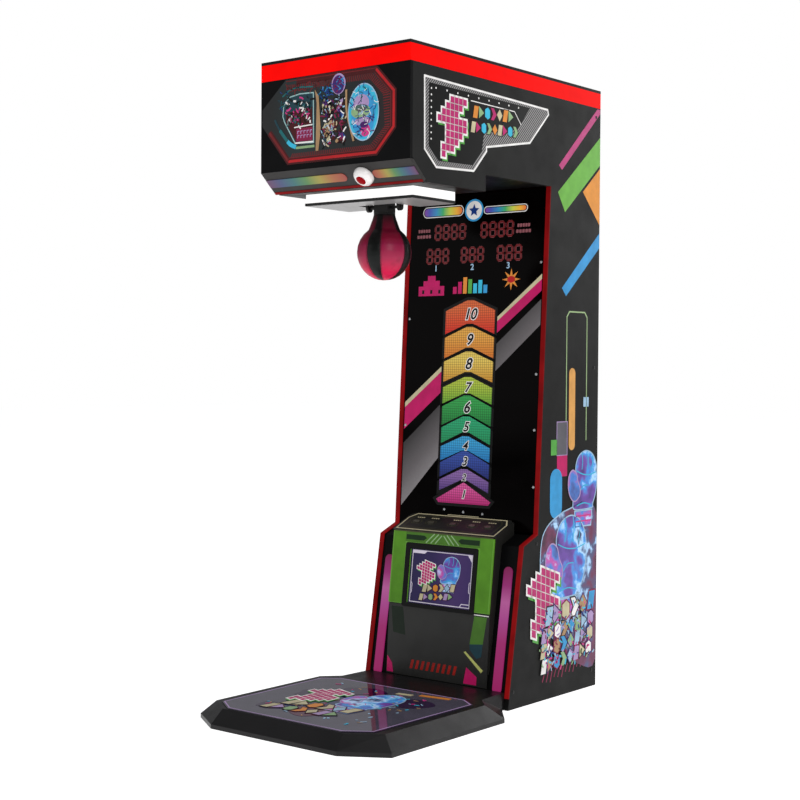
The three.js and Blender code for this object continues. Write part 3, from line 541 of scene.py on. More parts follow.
class Art:
    """Printed or raised shapes on one face, each a thin closed plate, gathered into one mesh.

    A finish is a material or the name of an ink. A shape lies on its layer, one layer thick unless proud
    says how far it stands above the face.
    """

    def __init__(self, face):
        self.face = face
        self.built = bmesh.new()
        self.finishes = []

    def index_of(self, finish):
        material = INKS[finish] if isinstance(finish, str) else finish
        if material not in self.finishes:
            self.finishes.append(material)
        return self.finishes.index(material)

    def slab(self, rings, finish, layer, proud, closed):
        """Closes the space between two loops, or fills one."""
        index = self.index_of(finish)
        low = layer * LAYER + CLEAR
        high = proud or low + LAYER - CLEAR
        bottom, top = [
            [[self.built.verts.new(self.face.at(*p, lift)) for p in ring] for ring in rings]
            for lift in (low, high)
        ]
        for below, above in zip(bottom, top):
            bridge(self.built, below, above, index, closed)
        if len(rings) == 1:
            caps = [top[0], bottom[0][::-1]]
        else:
            for level in (bottom, top):
                bridge(self.built, *level, index, closed)
            ends = [] if closed else [0, -1]
            caps = [[bottom[0][i], bottom[1][i], top[1][i], top[0][i]] for i in ends]
        for corners in caps:
            self.built.faces.new(corners).material_index = index

    def plate(self, outline, finish, layer=0, proud=None):
        self.slab([outline], finish, layer, proud, True)

    def ring(self, outer, inner, finish, layer=0, proud=None):
        self.slab([outer, inner], finish, layer, proud, True)

    def line(self, points, width, finish, layer=0, closed=False, proud=None):
        self.slab(line_sides(points, width, closed), finish, layer, proud, closed)

    def numeral(self, text, a, b, height, finish, layer, weight, lean=0.25):
        """A number in Blender's own font, set flat on the face."""
        index = self.index_of(finish)
        curve = bpy.data.curves.new("numeral", "FONT")
        curve.body = text
        curve.align_x = curve.align_y = "CENTER"
        curve.shear = lean
        curve.resolution_u = 4
        curve.size = height / CAPITAL_HEIGHT * MM
        curve.offset = weight * curve.size
        curve.extrude = LAYER / 2 * MM
        holder = new_object("numeral", curve)
        bpy.context.view_layer.update()
        mesh = bpy.data.meshes.new_from_object(holder.evaluated_get(bpy.context.evaluated_depsgraph_get()))
        across = (self.face.at(1, 0) - self.face.at(0, 0)).normalized()
        if across.cross(UP).dot(self.face.normal) < 0:
            across = -across
        upright = self.face.normal.cross(across)
        origin = self.face.at(a, b, (layer + 0.5) * LAYER + CLEAR)
        columns = (across, upright, self.face.normal, origin)
        mesh.transform(Matrix([[c[i] for c in columns] for i in range(3)] + [[0, 0, 0, 1]]))
        before = len(self.built.faces)
        self.built.from_mesh(mesh)
        self.built.faces.ensure_lookup_table()
        made = self.built.faces[before:]
        for face in made:
            face.material_index = index
        corners = list({v for face in made for v in face.verts})
        bmesh.ops.remove_doubles(self.built, verts=corners, dist=0.000002)
        bpy.data.objects.remove(holder)

    def done(self, name, body="root"):
        piece(name, self.built, self.finishes, body)


def rect(a0, b0, a1, b1):
    return [(a0, b0), (a1, b0), (a1, b1), (a0, b1)]


def ellipse(a, b, ra, rb, count=40, start=0.0, sweep=360.0):
    turns = count if sweep >= 360 else count - 1
    angles = [math.radians(start + sweep * i / turns) for i in range(count)]
    return [(a + ra * math.cos(t), b + rb * math.sin(t)) for t in angles]


def rounded(a0, b0, a1, b1, radius, count=6):
    radius = min(radius, abs(a1 - a0) / 2, abs(b1 - b0) / 2)
    corners = [
        (a1 - radius, b1 - radius, 0), (a0 + radius, b1 - radius, 90),
        (a0 + radius, b0 + radius, 180), (a1 - radius, b0 + radius, 270),
    ]
    return [p for a, b, start in corners for p in ellipse(a, b, radius, radius, count, start, 90.0)]


def star(a, b, outer, inner, points=5, turn=90.0):
    radii = [outer, inner] * points
    angles = [math.radians(turn + 180 * i / points) for i in range(2 * points)]
    return [(a + r * math.cos(t), b + r * math.sin(t)) for r, t in zip(radii, angles)]


def leaned(points, slope, origin=0.0):
    """Shears an outline so that it climbs with its first axis."""
    return [(a, b + slope * (a - origin)) for a, b in points]


def smooth(points, steps=6, closed=True):
    """A Catmull-Rom curve through points."""
    count = len(points)

    def corner(i):
        return Vector(points[i % count if closed else min(max(i, 0), count - 1)])

    made = []
    for i in range(count if closed else count - 1):
        before, here, after, beyond = (corner(i + k) for k in (-1, 0, 1, 2))
        for s in range(steps):
            t = s / steps
            made.append(tuple(0.5 * (
                2 * here + (after - before) * t
                + (2 * before - 5 * here + 4 * after - beyond) * t * t
                + (3 * here - before - 3 * after + beyond) * t ** 3
            )))
    if not closed:
        made.append(tuple(points[-1]))
    return made


SEGMENTS = [
    ((0, 2), (1, 2)), ((1, 2), (1, 1)), ((1, 1), (1, 0)), ((0, 0), (1, 0)),
    ((0, 0), (0, 1)), ((0, 1), (0, 2)), ((0, 1), (1, 1)),
]


def segment_digit(art, a, b, width, height, thick, finish, layer):
    """All seven segments of one display digit, a and b at its lower left corner."""
    corner = Vector((a, b)) + Vector((thick, thick)) / 2
    inner_w, inner_h = width - thick, (height - thick) / 2
    for ends in SEGMENTS:
        first, last = (corner + Vector((x * inner_w, y * inner_h)) for x, y in ends)
        way = (last - first).normalized()
        side = Vector((-way.y, way.x)) * thick / 2
        first += way * thick * 0.12
        last -= way * thick * 0.12
        taper = way * thick / 2
        left = [first + taper + side, last - taper + side]
        right = [last - taper - side, first + taper - side]
        art.plate([first, *left, last, *right], finish, layer)


DIGIT_GAP = 7.0
DIGIT_RIM = 0.9  # how far a digit's pale rim reaches past it
SEGMENT_WIDTH = 6.2
RIM_WIDTH = 8.4


def digit_group(art, a0, a1, b0, b1, count):
    """A row of digits, each over its pale rim."""
    width = (a1 - a0 - DIGIT_GAP * (count - 1)) / count
    for i in range(count):
        left = a0 + i * (width + DIGIT_GAP)
        rim_w, rim_h = width + 2 * DIGIT_RIM, b1 - b0 + 2 * DIGIT_RIM
        segment_digit(art, left - DIGIT_RIM, b0 - DIGIT_RIM, rim_w, rim_h, RIM_WIDTH, "segment_rim", 2)
        segment_digit(art, left, b0, width, b1 - b0, SEGMENT_WIDTH, "segment", 3)


# Radius and height round a screw's head, as shares of its own radius and height.
SCREW_PROFILE = [(1.0, 0.0), (1.0, 0.45), (0.75, 0.85), (0.3, 1.0)]
SCREW_HEIGHT = 1.6
SCREW_SIDES = 16


def add_screws(name, face, places, radius, finish):
    """Domed screw heads with a pit in their tops, standing on a face."""
    built = bmesh.new()
    across = (face.at(1, 0) - face.at(0, 0)).normalized()
    upright = face.normal.cross(across)
    spokes = [
        across * math.cos(2 * math.pi * i / SCREW_SIDES) + upright * math.sin(2 * math.pi * i / SCREW_SIDES)
        for i in range(SCREW_SIDES)
    ]
    for a, b in places:
        loops = [
            [built.verts.new(face.at(a, b, h * SCREW_HEIGHT) + spoke * r * radius * MM) for spoke in spokes]
            for r, h in SCREW_PROFILE
        ]
        for low, high in zip(loops, loops[1:]):
            bridge(built, low, high)
        built.faces.new(loops[0][::-1])
        pit = built.verts.new(face.at(a, b, 0.4 * SCREW_HEIGHT))
        for edge in zip(loops[-1], loops[-1][1:] + loops[-1][:1]):
            built.faces.new([*edge, pit])
    piece(name, built, [finish])


# The blocky bolt, row by row from its top.
BOLT = ["...####", "..####.", ".####..", "#######", "..#####", "..####.", "..###..", ".###...", ".#....."]

# A boxing glove, drawn in a box 100 wide and 130 high.
GLOVE_CUFF = [(26, 0), (76, 0), (79, 27), (23, 27)]
GLOVE_HAND = [
    (24, 30), (18, 44), (22, 62), (27, 84), (26, 104), (36, 122), (58, 130), (80, 123), (93, 104),
    (95, 80), (91, 56), (82, 38), (77, 30),
]
GLOVE_THUMB = [(22, 44), (8, 54), (2, 72), (5, 90), (16, 98), (28, 92), (33, 78), (40, 66), (38, 52)]
GLOVE_FOLDS = [
    [(46, 128), (48, 112), (46, 98)], [(64, 129), (66, 112), (63, 97)], [(81, 121), (80, 107), (76, 95)],
    [(30, 96), (48, 90), (70, 88), (92, 92)], [(42, 62), (52, 70), (66, 70)],
    [(30, 36), (52, 40), (74, 36)],
]

BLOCK_PITCH = 0.85  # from one block to the next, as a share of their height
BLOCK_RIM = 0.16  # of their height too
# Plain block shapes, in a box 8 wide and 10 high.
BLOCKS = [
    [(0, 0), (2, 10), (8, 10), (6, 0)],
    [(0, 0), (0, 10), (7, 5)],
    [(0, 2), (0, 8), (4, 10), (7, 8), (7, 2), (4, 0)],
    [(0, 0), (3, 5), (0, 10), (4, 10), (8, 5), (4, 0)],
    [(0, 5), (4, 10), (8, 5), (4, 0)],
]


def block_row(art, place, count, height, start, tones, rims, layer, slope=0.0):
    """A row of the block shapes. place turns the row's own lengths into the face's."""
    unit = height / 10
    for i in range(count):
        a = i * height * BLOCK_PITCH
        left, foot = start[0] + a, start[1] + slope * a
        outline = [(left + x * unit, foot + y * unit) for x, y in BLOCKS[i % len(BLOCKS)]]
        grown = [tuple(p) for p in line_sides(outline, height * BLOCK_RIM, True)[0]]
        art.plate([place(p) for p in grown], rims[i % len(rims)], layer)
        art.plate([place(p) for p in outline], tones[i % len(tones)], layer + 1)


def bolt_cells(art, place, corner, cell, layer, slope, rim=0.22, shade=0.4):
    """The blocky bolt: square cells over a pale rim, over a green shadow. corner is its upper left."""

    def square(a, b, grow, drop=0.0):
        outline = rect(a - grow + drop, b - cell - grow - drop, a + cell + grow + drop, b + grow - drop)
        return [place(p) for p in leaned(outline, slope, corner[0])]

    for row, marks in enumerate(BOLT):
        for column, mark in enumerate(marks):
            if mark == "#":
                a, b = corner[0] + column * cell, corner[1] - row * cell
                art.plate(square(a, b, rim * cell * 0.6, shade * cell), "green", layer)
                art.plate(square(a, b, rim * cell), "white", layer + 1)
                art.plate(square(a, b, -0.06 * cell), "bolt_pink", layer + 2)


def glove(art, place, corner, scale, layer, width):
    """The neon glove, its lower left at corner."""

    def put(points):
        return [place((corner[0] + a * scale, corner[1] + b * scale)) for a, b in points]

    hand, thumb = smooth(GLOVE_HAND, 5), smooth(GLOVE_THUMB, 5)
    art.plate(put(GLOVE_CUFF), "neon_warm", layer)
    art.line(put(GLOVE_CUFF), width, "pale_blue", layer + 1, True)
    art.plate(put(hand), "neon", layer)
    art.line(put(hand), width, "pale_blue", layer + 1, True)
    art.plate(put(thumb), "neon_warm", layer + 2)
    art.line(put(thumb), width, "lilac", layer + 3, True)
    for fold in GLOVE_FOLDS:
        art.line(put(smooth(fold, 4, False)), width * 0.8, "cyan", layer + 1)
    for b in (9, 18):
        art.line(put([(27, b), (77, b)]), width, "pink_hot", layer + 2)


def key_art(art, place, layer, width):
    """Bolt, glove and two rows of blocks, in a box about 240 wide and 230 high."""
    glove(art, place, (104, 58), 1.25, layer, width)
    bolt_cells(art, place, (0, 205), 13.5, layer + 4, -0.28)
    rims = ["black", "maroon"]
    upper = ["cream", "cream", "orange", "cream", "pale_blue"]
    lower = ["cream", "lilac", "green_pale", "orange"]
    block_row(art, place, 6, 34, (34, 46), upper, rims, layer + 4, 0.10)
    block_row(art, place, 7, 30, (20, 6), lower, rims, layer + 4, 0.10)


# ---------------------------------------------------------------- the score glass

# Height of each rank's apex, shoulder and foot from rank 10 down, with its upper and lower tones.
RANKS = [
    (1424, 1386, 1300, "d06030", "d01408"), (1326, 1287, 1211, "dca040", "d06c18"),
    (1236, 1199, 1124, "dcc058", "c88820"), (1143, 1104, 1044, "a8bc3c", "60a028"),
    (1075, 1034, 965, "2c9c48", "0c7430"), (999, 956, 898, "20a06c", "108850"),
    (926, 886, 834, "3098cc", "1070b4"), (871, 827, 774, "2c489c", "121c68"),
    (806, 764, 724, "8460a0", "4c3078"), (758, 692, 680, "d05094", "b0186c"),
]
RANK_MIDDLE = -10
RANK_HALF = 111
RANK_PEAK = 14  # half the flat top of a rank's arrow
RANK_RIM = 22
RANK_DOTS = 0.009
STRIPE_STATIONS = (-298, -130, 103, 298)
STRIPES = [
    ("cream", (1046, 1183, 1354, 1511), (1027, 1164, 1339, 1493)),
    ("glass_magenta", (1027, 1164, 1339, 1493), (945, 1086, 1296, 1451)),
    ("grey_band", (893, 1042, 1256, 1421), (658, 846, 1158, 1330)),
]


def draw_score_glass():
    glass = Face("score_glass", FRONT)
    art = Art(glass)
    # slanting stripes, then the tower of ranks over them
    for name, upper, lower in STRIPES:
        outline = list(zip(STRIPE_STATIONS, upper)) + list(zip(STRIPE_STATIONS, lower))[::-1]
        art.plate(outline, name, 0)
    left, right = RANK_MIDDLE - RANK_HALF, RANK_MIDDLE + RANK_HALF
    for number, (apex, shoulder, foot, upper, lower) in zip(range(10, 0, -1), RANKS):
        rise = apex - shoulder
        if number == 1:
            # the lowest rank is a little wider and tapers to its foot
            left, right = left - 12, right + 12
            base = (right - 10, foot), (left + 10, foot)
            arrow = [(left, shoulder), (RANK_MIDDLE, apex), (right, shoulder), *base]
        else:
            peak_left, peak_right = RANK_MIDDLE - RANK_PEAK, RANK_MIDDLE + RANK_PEAK
            peak = (peak_left, apex), (peak_right, apex)
            notch = (peak_right, foot + rise), (peak_left, foot + rise)
            arrow = [(left, shoulder), *peak, (right, shoulder), (right, foot), *notch, (left, foot)]
        stops = [(0.0, lower), (0.75, upper), (1.0, upper)]
        low_z, high_z = DATUM.z + foot * MM, DATUM.z + apex * MM
        tone = rainbow(f"rank_{number}", "Z", low_z, high_z, stops, 0.7, 0.3, RANK_DOTS)
        art.plate(line_sides(arrow, RANK_RIM, True)[0], "black", 1)
        art.plate(arrow, tone, 2)
        middle = (shoulder + foot) / 2 + rise * 0.75 if number > 1 else (apex + foot) / 2 - 6
        height = min(40, (shoulder - foot) * 0.6) if number > 1 else 30
        art.numeral(str(number), RANK_MIDDLE, middle, height, "white", 3, 0.07)
        art.numeral(str(number), RANK_MIDDLE, middle, height, "black", 4, 0.02)
    # digit displays and the small marks beside and below them
    for a0, a1 in ((-188, -44), (23, 169)):
        digit_group(art, a0, a1, 1650, 1708, 4)
    for a0, a1 in ((-222, -118), (-63, 41), (99, 208)):
        digit_group(art, a0, a1, 1562, 1620, 3)
    for place, a in zip("123", (-176, -9, 151)):
        art.numeral(place, a, 1545, 22, "pale_blue", 2, 0.02, 0.0)
    for a0, a1 in ((-270, -203), (180, 246)):
        for b, share in ((1688, 0.86), (1667, 1.0)):
            middle, half = (a0 + a1) / 2, (a1 - a0) / 2 * share
            for i in range(5):
                low = middle - half + i * half * 0.4
                art.plate(rounded(low, b - 6, low + half * 0.32, b + 6, 2), "segment_rim", 2)
    # two colour ovals and the round badge between them
    for i, (a0, a1, b0, b1) in enumerate(((-246, -57, 1736, 1777), (34, 227, 1736, 1765))):
        art.plate(rounded(a0, b0, a1, b1, 30), "white", 2)
        art.plate(rounded(a0 + 3, b0 + 3, a1 - 3, b1 - 3, 30), "black", 3)
        fade = rainbow(f"oval_{i}", "X", DATUM.x + a0 * MM, DATUM.x + a1 * MM, spread(OVAL_TONES), 0.3)
        art.plate(rounded(a0 + 7, b0 + 6, a1 - 7, b1 - 6, 30), fade, 4)
    art.plate(ellipse(-10, 1754, 42, 41), "blue", 2)
    art.plate(ellipse(-10, 1754, 35, 34), "white", 3)
    art.plate(star(-10, 1753, 24, 11), "blue_deep", 4)
    # icon row
    crown = [
        (-254, 1444), (-134, 1444), (-134, 1480), (-156, 1480), (-156, 1500), (-176, 1500), (-176, 1519),
        (-212, 1519), (-212, 1500), (-232, 1500), (-232, 1480), (-254, 1480),
    ]
    art.plate(crown, "glass_magenta", 1)
    for a in (-232, -194, -156):
        art.plate(rect(a - 5, 1452, a + 5, 1466), "black", 2)
    bar_inks = ("glass_magenta", "glass_magenta", "orange", "green", "cyan", "cyan", "blue")
    bars = zip((26, 44, 60, 52, 36, 48, 30), bar_inks)
    for i, (height, name) in enumerate(bars):
        art.plate(rect(-93 + i * 23, 1449, -76 + i * 23, 1449 + height), name, 1)
    art.plate(star(166, 1495, 40, 15, 8), "orange", 1)
    art.plate(ellipse(166, 1495, 17, 12), "red", 2)
    art.done("score_glass_print")
    screws = [(292, 1553), (289, 1156), (290, 958), (295, 757), (-292, 1360), (-292, 960)]
    screws += [(-94, 655), (-7, 650), (79, 648)]
    add_screws("score_glass_screws", glass, screws, 5.0, STEEL)


# ---------------------------------------------------------------- the marquee


def shrunk(points, distance):
    """A convex outline moved inwards, its corners kept sharp."""
    centre = sum((Vector(p) for p in points), Vector((0, 0))) / len(points)
    left, right = line_sides(points, 2 * distance, True)
    pairs = zip(left, right)
    return [tuple(min(pair, key=lambda p: (p - centre).length)) for pair in pairs]


def ticks(art, inner, outer, spacing, width, finish, layer):
    """Short strokes between two paths that run side by side."""
    for (p0, p1), (q0, q1) in zip(zip(inner, inner[1:]), zip(outer, outer[1:])):
        p0, p1, q0, q1 = map(Vector, (p0, p1, q0, q1))
        count = max(1, int((q1 - q0).length / spacing))
        for i in range(count):
            t = (i + 0.5) / count
            art.line([tuple(p0.lerp(p1, t)), tuple(q0.lerp(q1, t))], width, finish, layer)


def scribble(art, draw, low, high, count, names, layer, width=2.2, inside=None):
    """Short curved strokes scattered in a box, as printed detail."""
    for i in range(count):
        a, b = draw.uniform(low[0], high[0]), draw.uniform(low[1], high[1])
        if inside and not inside(a, b):
            continue
        turn, bend = draw.uniform(0, 2 * math.pi), draw.uniform(-1.4, 1.4)
        length = draw.uniform(9, 24)
        points = [(a, b)]
        for step in range(4):
            turn += bend / 4
            last = points[-1]
            points.append((last[0] + length / 4 * math.cos(turn), last[1] + length / 4 * math.sin(turn)))
        art.line(points, width * draw.uniform(0.7, 1.6), names[i % len(names)], layer)


def in_ellipse(a, b, ra, rb):
    return lambda x, y: ((x - a) / ra) ** 2 + ((y - b) / rb) ** 2 < 1.0


def draw_marquee():
    face = Face("marquee_window", FRONT)
    art = Art(face)
    draw = random.Random(7)
    # the frame: a bright line and a dull one inside it, both fading out at the left
    bright = [(-160, 2122), (183, 2122), (256, 2047), (256, 1934), (184, 1859), (-194, 1859), (-282, 1962)]
    art.line(bright, 22, "maroon", 0)
    art.line(bright[1:-1], 9, "red", 1)
    art.line([(-206, 2125), (186, 2125)], 3, "dull_red", 1)
    art.line(bright[-2:], 9, "dull_red", 1)
    art.line([(-192, 1870), (176, 1870), (244, 1939), (244, 2042), (178, 2110)], 2.5, "dull_red", 1)
    inside = [
        (-207, 2088), (-7, 2094), (53, 2094), (158, 2092),
        (212, 2040), (220, 1938), (160, 1884), (-178, 1884),
    ]
    rim = [
        (-206, 2113), (-7, 2113), (53, 2113), (172, 2110),
        (240, 2042), (240, 1939), (174, 1871), (-187, 1871),
    ]
    ticks(art, inside, rim, 8.5, 3.4, "dull_red", 0)
    scribble(art, draw, (-205, 2090), (10, 2112), 34, ["dull_red", "maroon"], 1, 2.4)
    # shield at the left, with blocks in it
    shield = [
        (-219, 2040), (-206, 2062), (-186, 2074), (-144, 2080), (-82, 2078), (-80, 1911), (-165, 1915),
        (-214, 1990), (-222, 2010),
    ]
    art.plate(shield, "pale_teal", 1)
    art.plate(shrunk(shield, 4), "teal_dark", 2)
    art.plate([(-205, 2020), (-88, 2030), (-88, 1919), (-160, 1922), (-206, 1990)], "maroon", 3)
    art.plate(rect(-158, 1921, -86, 1964), "dark_pink", 4)
    strokes = ["white", "pink_hot", "black", "teal", "black"]
    scribble(art, draw, (-200, 1975), (-95, 2060), 80, strokes, 5, 4.2)
    for b in (1936, 1950):
        for a in range(-152, -82, 14):
            art.line([(a, b - 4), (a, b + 5), (a + 8, b + 5)], 2.6, "lilac", 5)
    art.line([(-168, 1969), (-86, 1972)], 4, "white", 5)
    art.line([(-162, 1917), (-82, 1916)], 5, "white", 5)
    art.line(smooth([(-222, 2076), (-190, 2094), (-150, 2100), (-86, 2096)], 6, False), 5, "teal", 1)
    scribble(art, draw, (-235, 2040), (-195, 2090), 20, ["teal_dark", "teal", "blue_deep"], 1)
    # post beside the shield
    post = [(-77, 2085), (-60, 2062), (-50, 1950), (-60, 1884), (-72, 1884), (-68, 2040)]
    art.plate(post, "tan", 5)
    # the crowd of shapes in the middle
    names = [
        "lilac", "maroon", "dark_pink", "teal_dark", "tan",
        "blue_deep", "maroon", "cream", "purple", "black",
    ]
    for i in range(60):
        a, b = draw.uniform(-40, 52), draw.uniform(1906, 2036)
        wide, tall = draw.uniform(7, 18), draw.uniform(8, 20)
        shape = smooth(star(a, b, wide, tall * 0.5, 4, draw.uniform(0, 90)), 2)
        art.plate(shape, names[i % len(names)], 1 + i % 5)
    strokes = ["white", "black", "maroon", "pale_blue", "black", "cream", "dark_pink", "black"]
    scribble(art, draw, (-46, 1900), (60, 2050), 110, strokes, 6, 3.6)
    scribble(art, draw, (-60, 2045), (-5, 2085), 36, ["blue", "blue_deep", "teal_dark"], 3, 3.0)
    art.plate(ellipse(27, 2092, 30, 34), "lilac", 7)
    art.plate(ellipse(26, 2090, 25, 30), "purple", 8)
    strokes = ["blue", "dark_pink", "blue_deep"]
    scribble(art, draw, (8, 2065), (42, 2115), 26, strokes, 9, 2.6, in_ellipse(26, 2090, 22, 26))
    art.line(smooth([(60, 2070), (62, 2000), (80, 1940), (92, 1902)], 5, False), 8, "tan", 7)
    # oval at the right
    for b, ra, rb, name, layer in (
        (1991, 65, 92, "pale_blue", 8), (1991, 61, 88, "cyan", 9), (1985, 50, 76, "blue", 10),
    ):
        art.plate(ellipse(133, b, ra, rb, 48), name, layer)
    for a, b, ra, rb, name, layer in (
        (124, 2020, 33, 28, "lilac", 11), (122, 1994, 40, 22, "green_pale", 11),
        (131, 1962, 34, 14, "lilac", 12), (142, 1932, 20, 20, "pink_hot", 12),
        (136, 1950, 16, 10, "purple", 13),
    ):
        art.plate(ellipse(a, b, ra, rb), name, layer)
    strokes = ["blue_deep", "white", "teal", "purple", "pale_blue"]
    scribble(art, draw, (76, 1908), (190, 2075), 110, strokes, 14, 2.2, in_ellipse(133, 1991, 56, 82))
    # lit arc at the lower left
    arc = smooth([(-257, 2003), (-240, 1975), (-218, 1948), (-188, 1917), (-160, 1904)], 6, False)
    art.line(arc[:10], 8, "teal_dark", 2)
    art.line(arc[8:18], 12, "teal", 3)
    art.line(arc[16:], 14, "cyan", 4)
    art.line([(-160, 1901), (-78, 1901)], 8, "green_pale", 2)
    art.done("marquee_print")


# ---------------------------------------------------------------- the side panels


def draw_side(side, towards):
    face = Face(f"side_panel_{side}", towards)
    art = Art(face)
    # hatched plate on the head, with the bolt and two rows of blocks in a dark window
    decal = [
        (-1062, 2100), (-1059, 1865), (-996, 1812), (-791, 1821), (-718, 1895), (-718, 1908),
        (-463, 1952), (-345, 2067), (-352, 2087),
    ]
    art.plate(decal, "white", 0)
    art.plate(shrunk(decal, 7), "hatch", 1)
    window = [
        (-1036, 2079), (-1036, 1878), (-985, 1836), (-802, 1842), (-748, 1896), (-736, 1956),
        (-543, 1990), (-465, 2075),
    ]
    art.plate(window, "black", 2)
    for i in range(9):
        art.plate(ellipse(-1024, 2062 - i * 20, 3.2, 3.2, 10), "white", 3)
        art.plate(ellipse(-1000 + i * 58, 2066, 3.2, 3.2, 10), "white", 3)
    bolt_cells(art, tuple, (-992, 2054), 22.5, 3, -0.02, 0.24, 0.35)
    tones = ["orange", "green_pale", "cyan", "bolt_pink", "cream"]
    block_row(art, tuple, 7, 40, (-800, 1999), tones, ["black"], 3, 0.05)
    block_row(art, tuple, 9, 36, (-812, 1950), tones[::-1], ["black"], 3, 0.05)
    art.line([(-812, 2052), (-560, 2050), (-520, 2010)], 3, "white", 3)
    # diagonal colour bars that run off the back edge
    bars = [
        ("stripe_magenta", [(-1, 2117), (-258, 1884), (-278, 1899), (-22, 2131), (-1, 2131)]),
        ("stripe_green", [(-1, 2029), (-283, 1803), (-236, 1736), (-1, 1927)]),
        ("stripe_orange", [(-1, 1914), (-117, 1819), (-1, 1706)]),
        ("stripe_blue", [(-1, 1677), (-252, 1464), (-225, 1436), (-1, 1622)]),
    ]
    for name, outline in bars:
        art.plate(outline, name, 0)
    # hanging loop, its bar and small squares
    loop = [(-81, 914), (-81, 1363), (-97, 1381), (-200, 1381), (-217, 1363), (-217, 985)]
    art.line(loop, 5, "pale_green", 0)
    art.plate(rounded(-199, 881, -158, 1178, 20), "bar_orange", 1)
    art.plate(rect(-101, 1037, -65, 1072), "pale_blue", 0)
    art.plate(rect(-277, 865, -209, 985), "grey_box", 0)
    art.line(rect(-277, 865, -209, 985), 3, "lilac", 1, True)
    art.plate(rect(-315, 867, -275, 922), "green", 1)
    art.plate(rect(-275, 789, -208, 864), "glass_magenta", 1)
    art.plate(rounded(-319, 640, -241, 818, 38), "blue", 2)
    # a haze that stops short of the panel's back edge, two gloves and the bolt in front of it
    haze = [
        (-378, 360), (-376, 540), (-340, 612), (-250, 655), (-196, 668), (-100, 690), (-4, 640), (-4, 420),
        (-4, 100), (-120, 96), (-260, 180), (-345, 270),
    ]
    art.plate([(min(a, -3), b) for a, b in smooth(haze, 4)], "neon_dim", 3)
    art.line(smooth(haze[:6], 4, False), 5, "pale_blue", 4)
    glove(art, tuple, (-206, 600), 2.12, 4, 5)
    glove(art, tuple, (-352, 268), 2.9, 5, 5)
    bolt_cells(art, tuple, (-462, 505), 29, 9, -0.32)
    tones = ["pale_blue", "lilac", "cream", "white", "tan", "blue", "green_pale"]
    rims = ["black", "purple", "dark_pink"]
    draw = random.Random(21)
    names = ["pink_hot", "cyan", "green_pale", "lilac", "blue_deep", "dark_pink", "pale_blue", "maroon"]
    rows = [(6, 66, -348, 262), (8, 52, -372, 202), (8, 52, -376, 148), (8, 50, -372, 94)]
    for row, (count, height, a, b) in enumerate(rows):
        block_row(art, tuple, count, height, (a, b), tones[row:] + tones[:row], rims, 12, 0.10)
    scribble(art, draw, (-375, 110), (-30, 330), 170, names, 14, 5.0)
    for i in range(14):
        a = -344 + i * 25
        top = 92 + 0.1 * (a + 372)
        art.line([(a, top), (a - 14, top - 30 - 6 * (i % 3))], 5, "dark_pink", 0)
    art.done(f"side_print_{side}")


# ---------------------------------------------------------------- the console


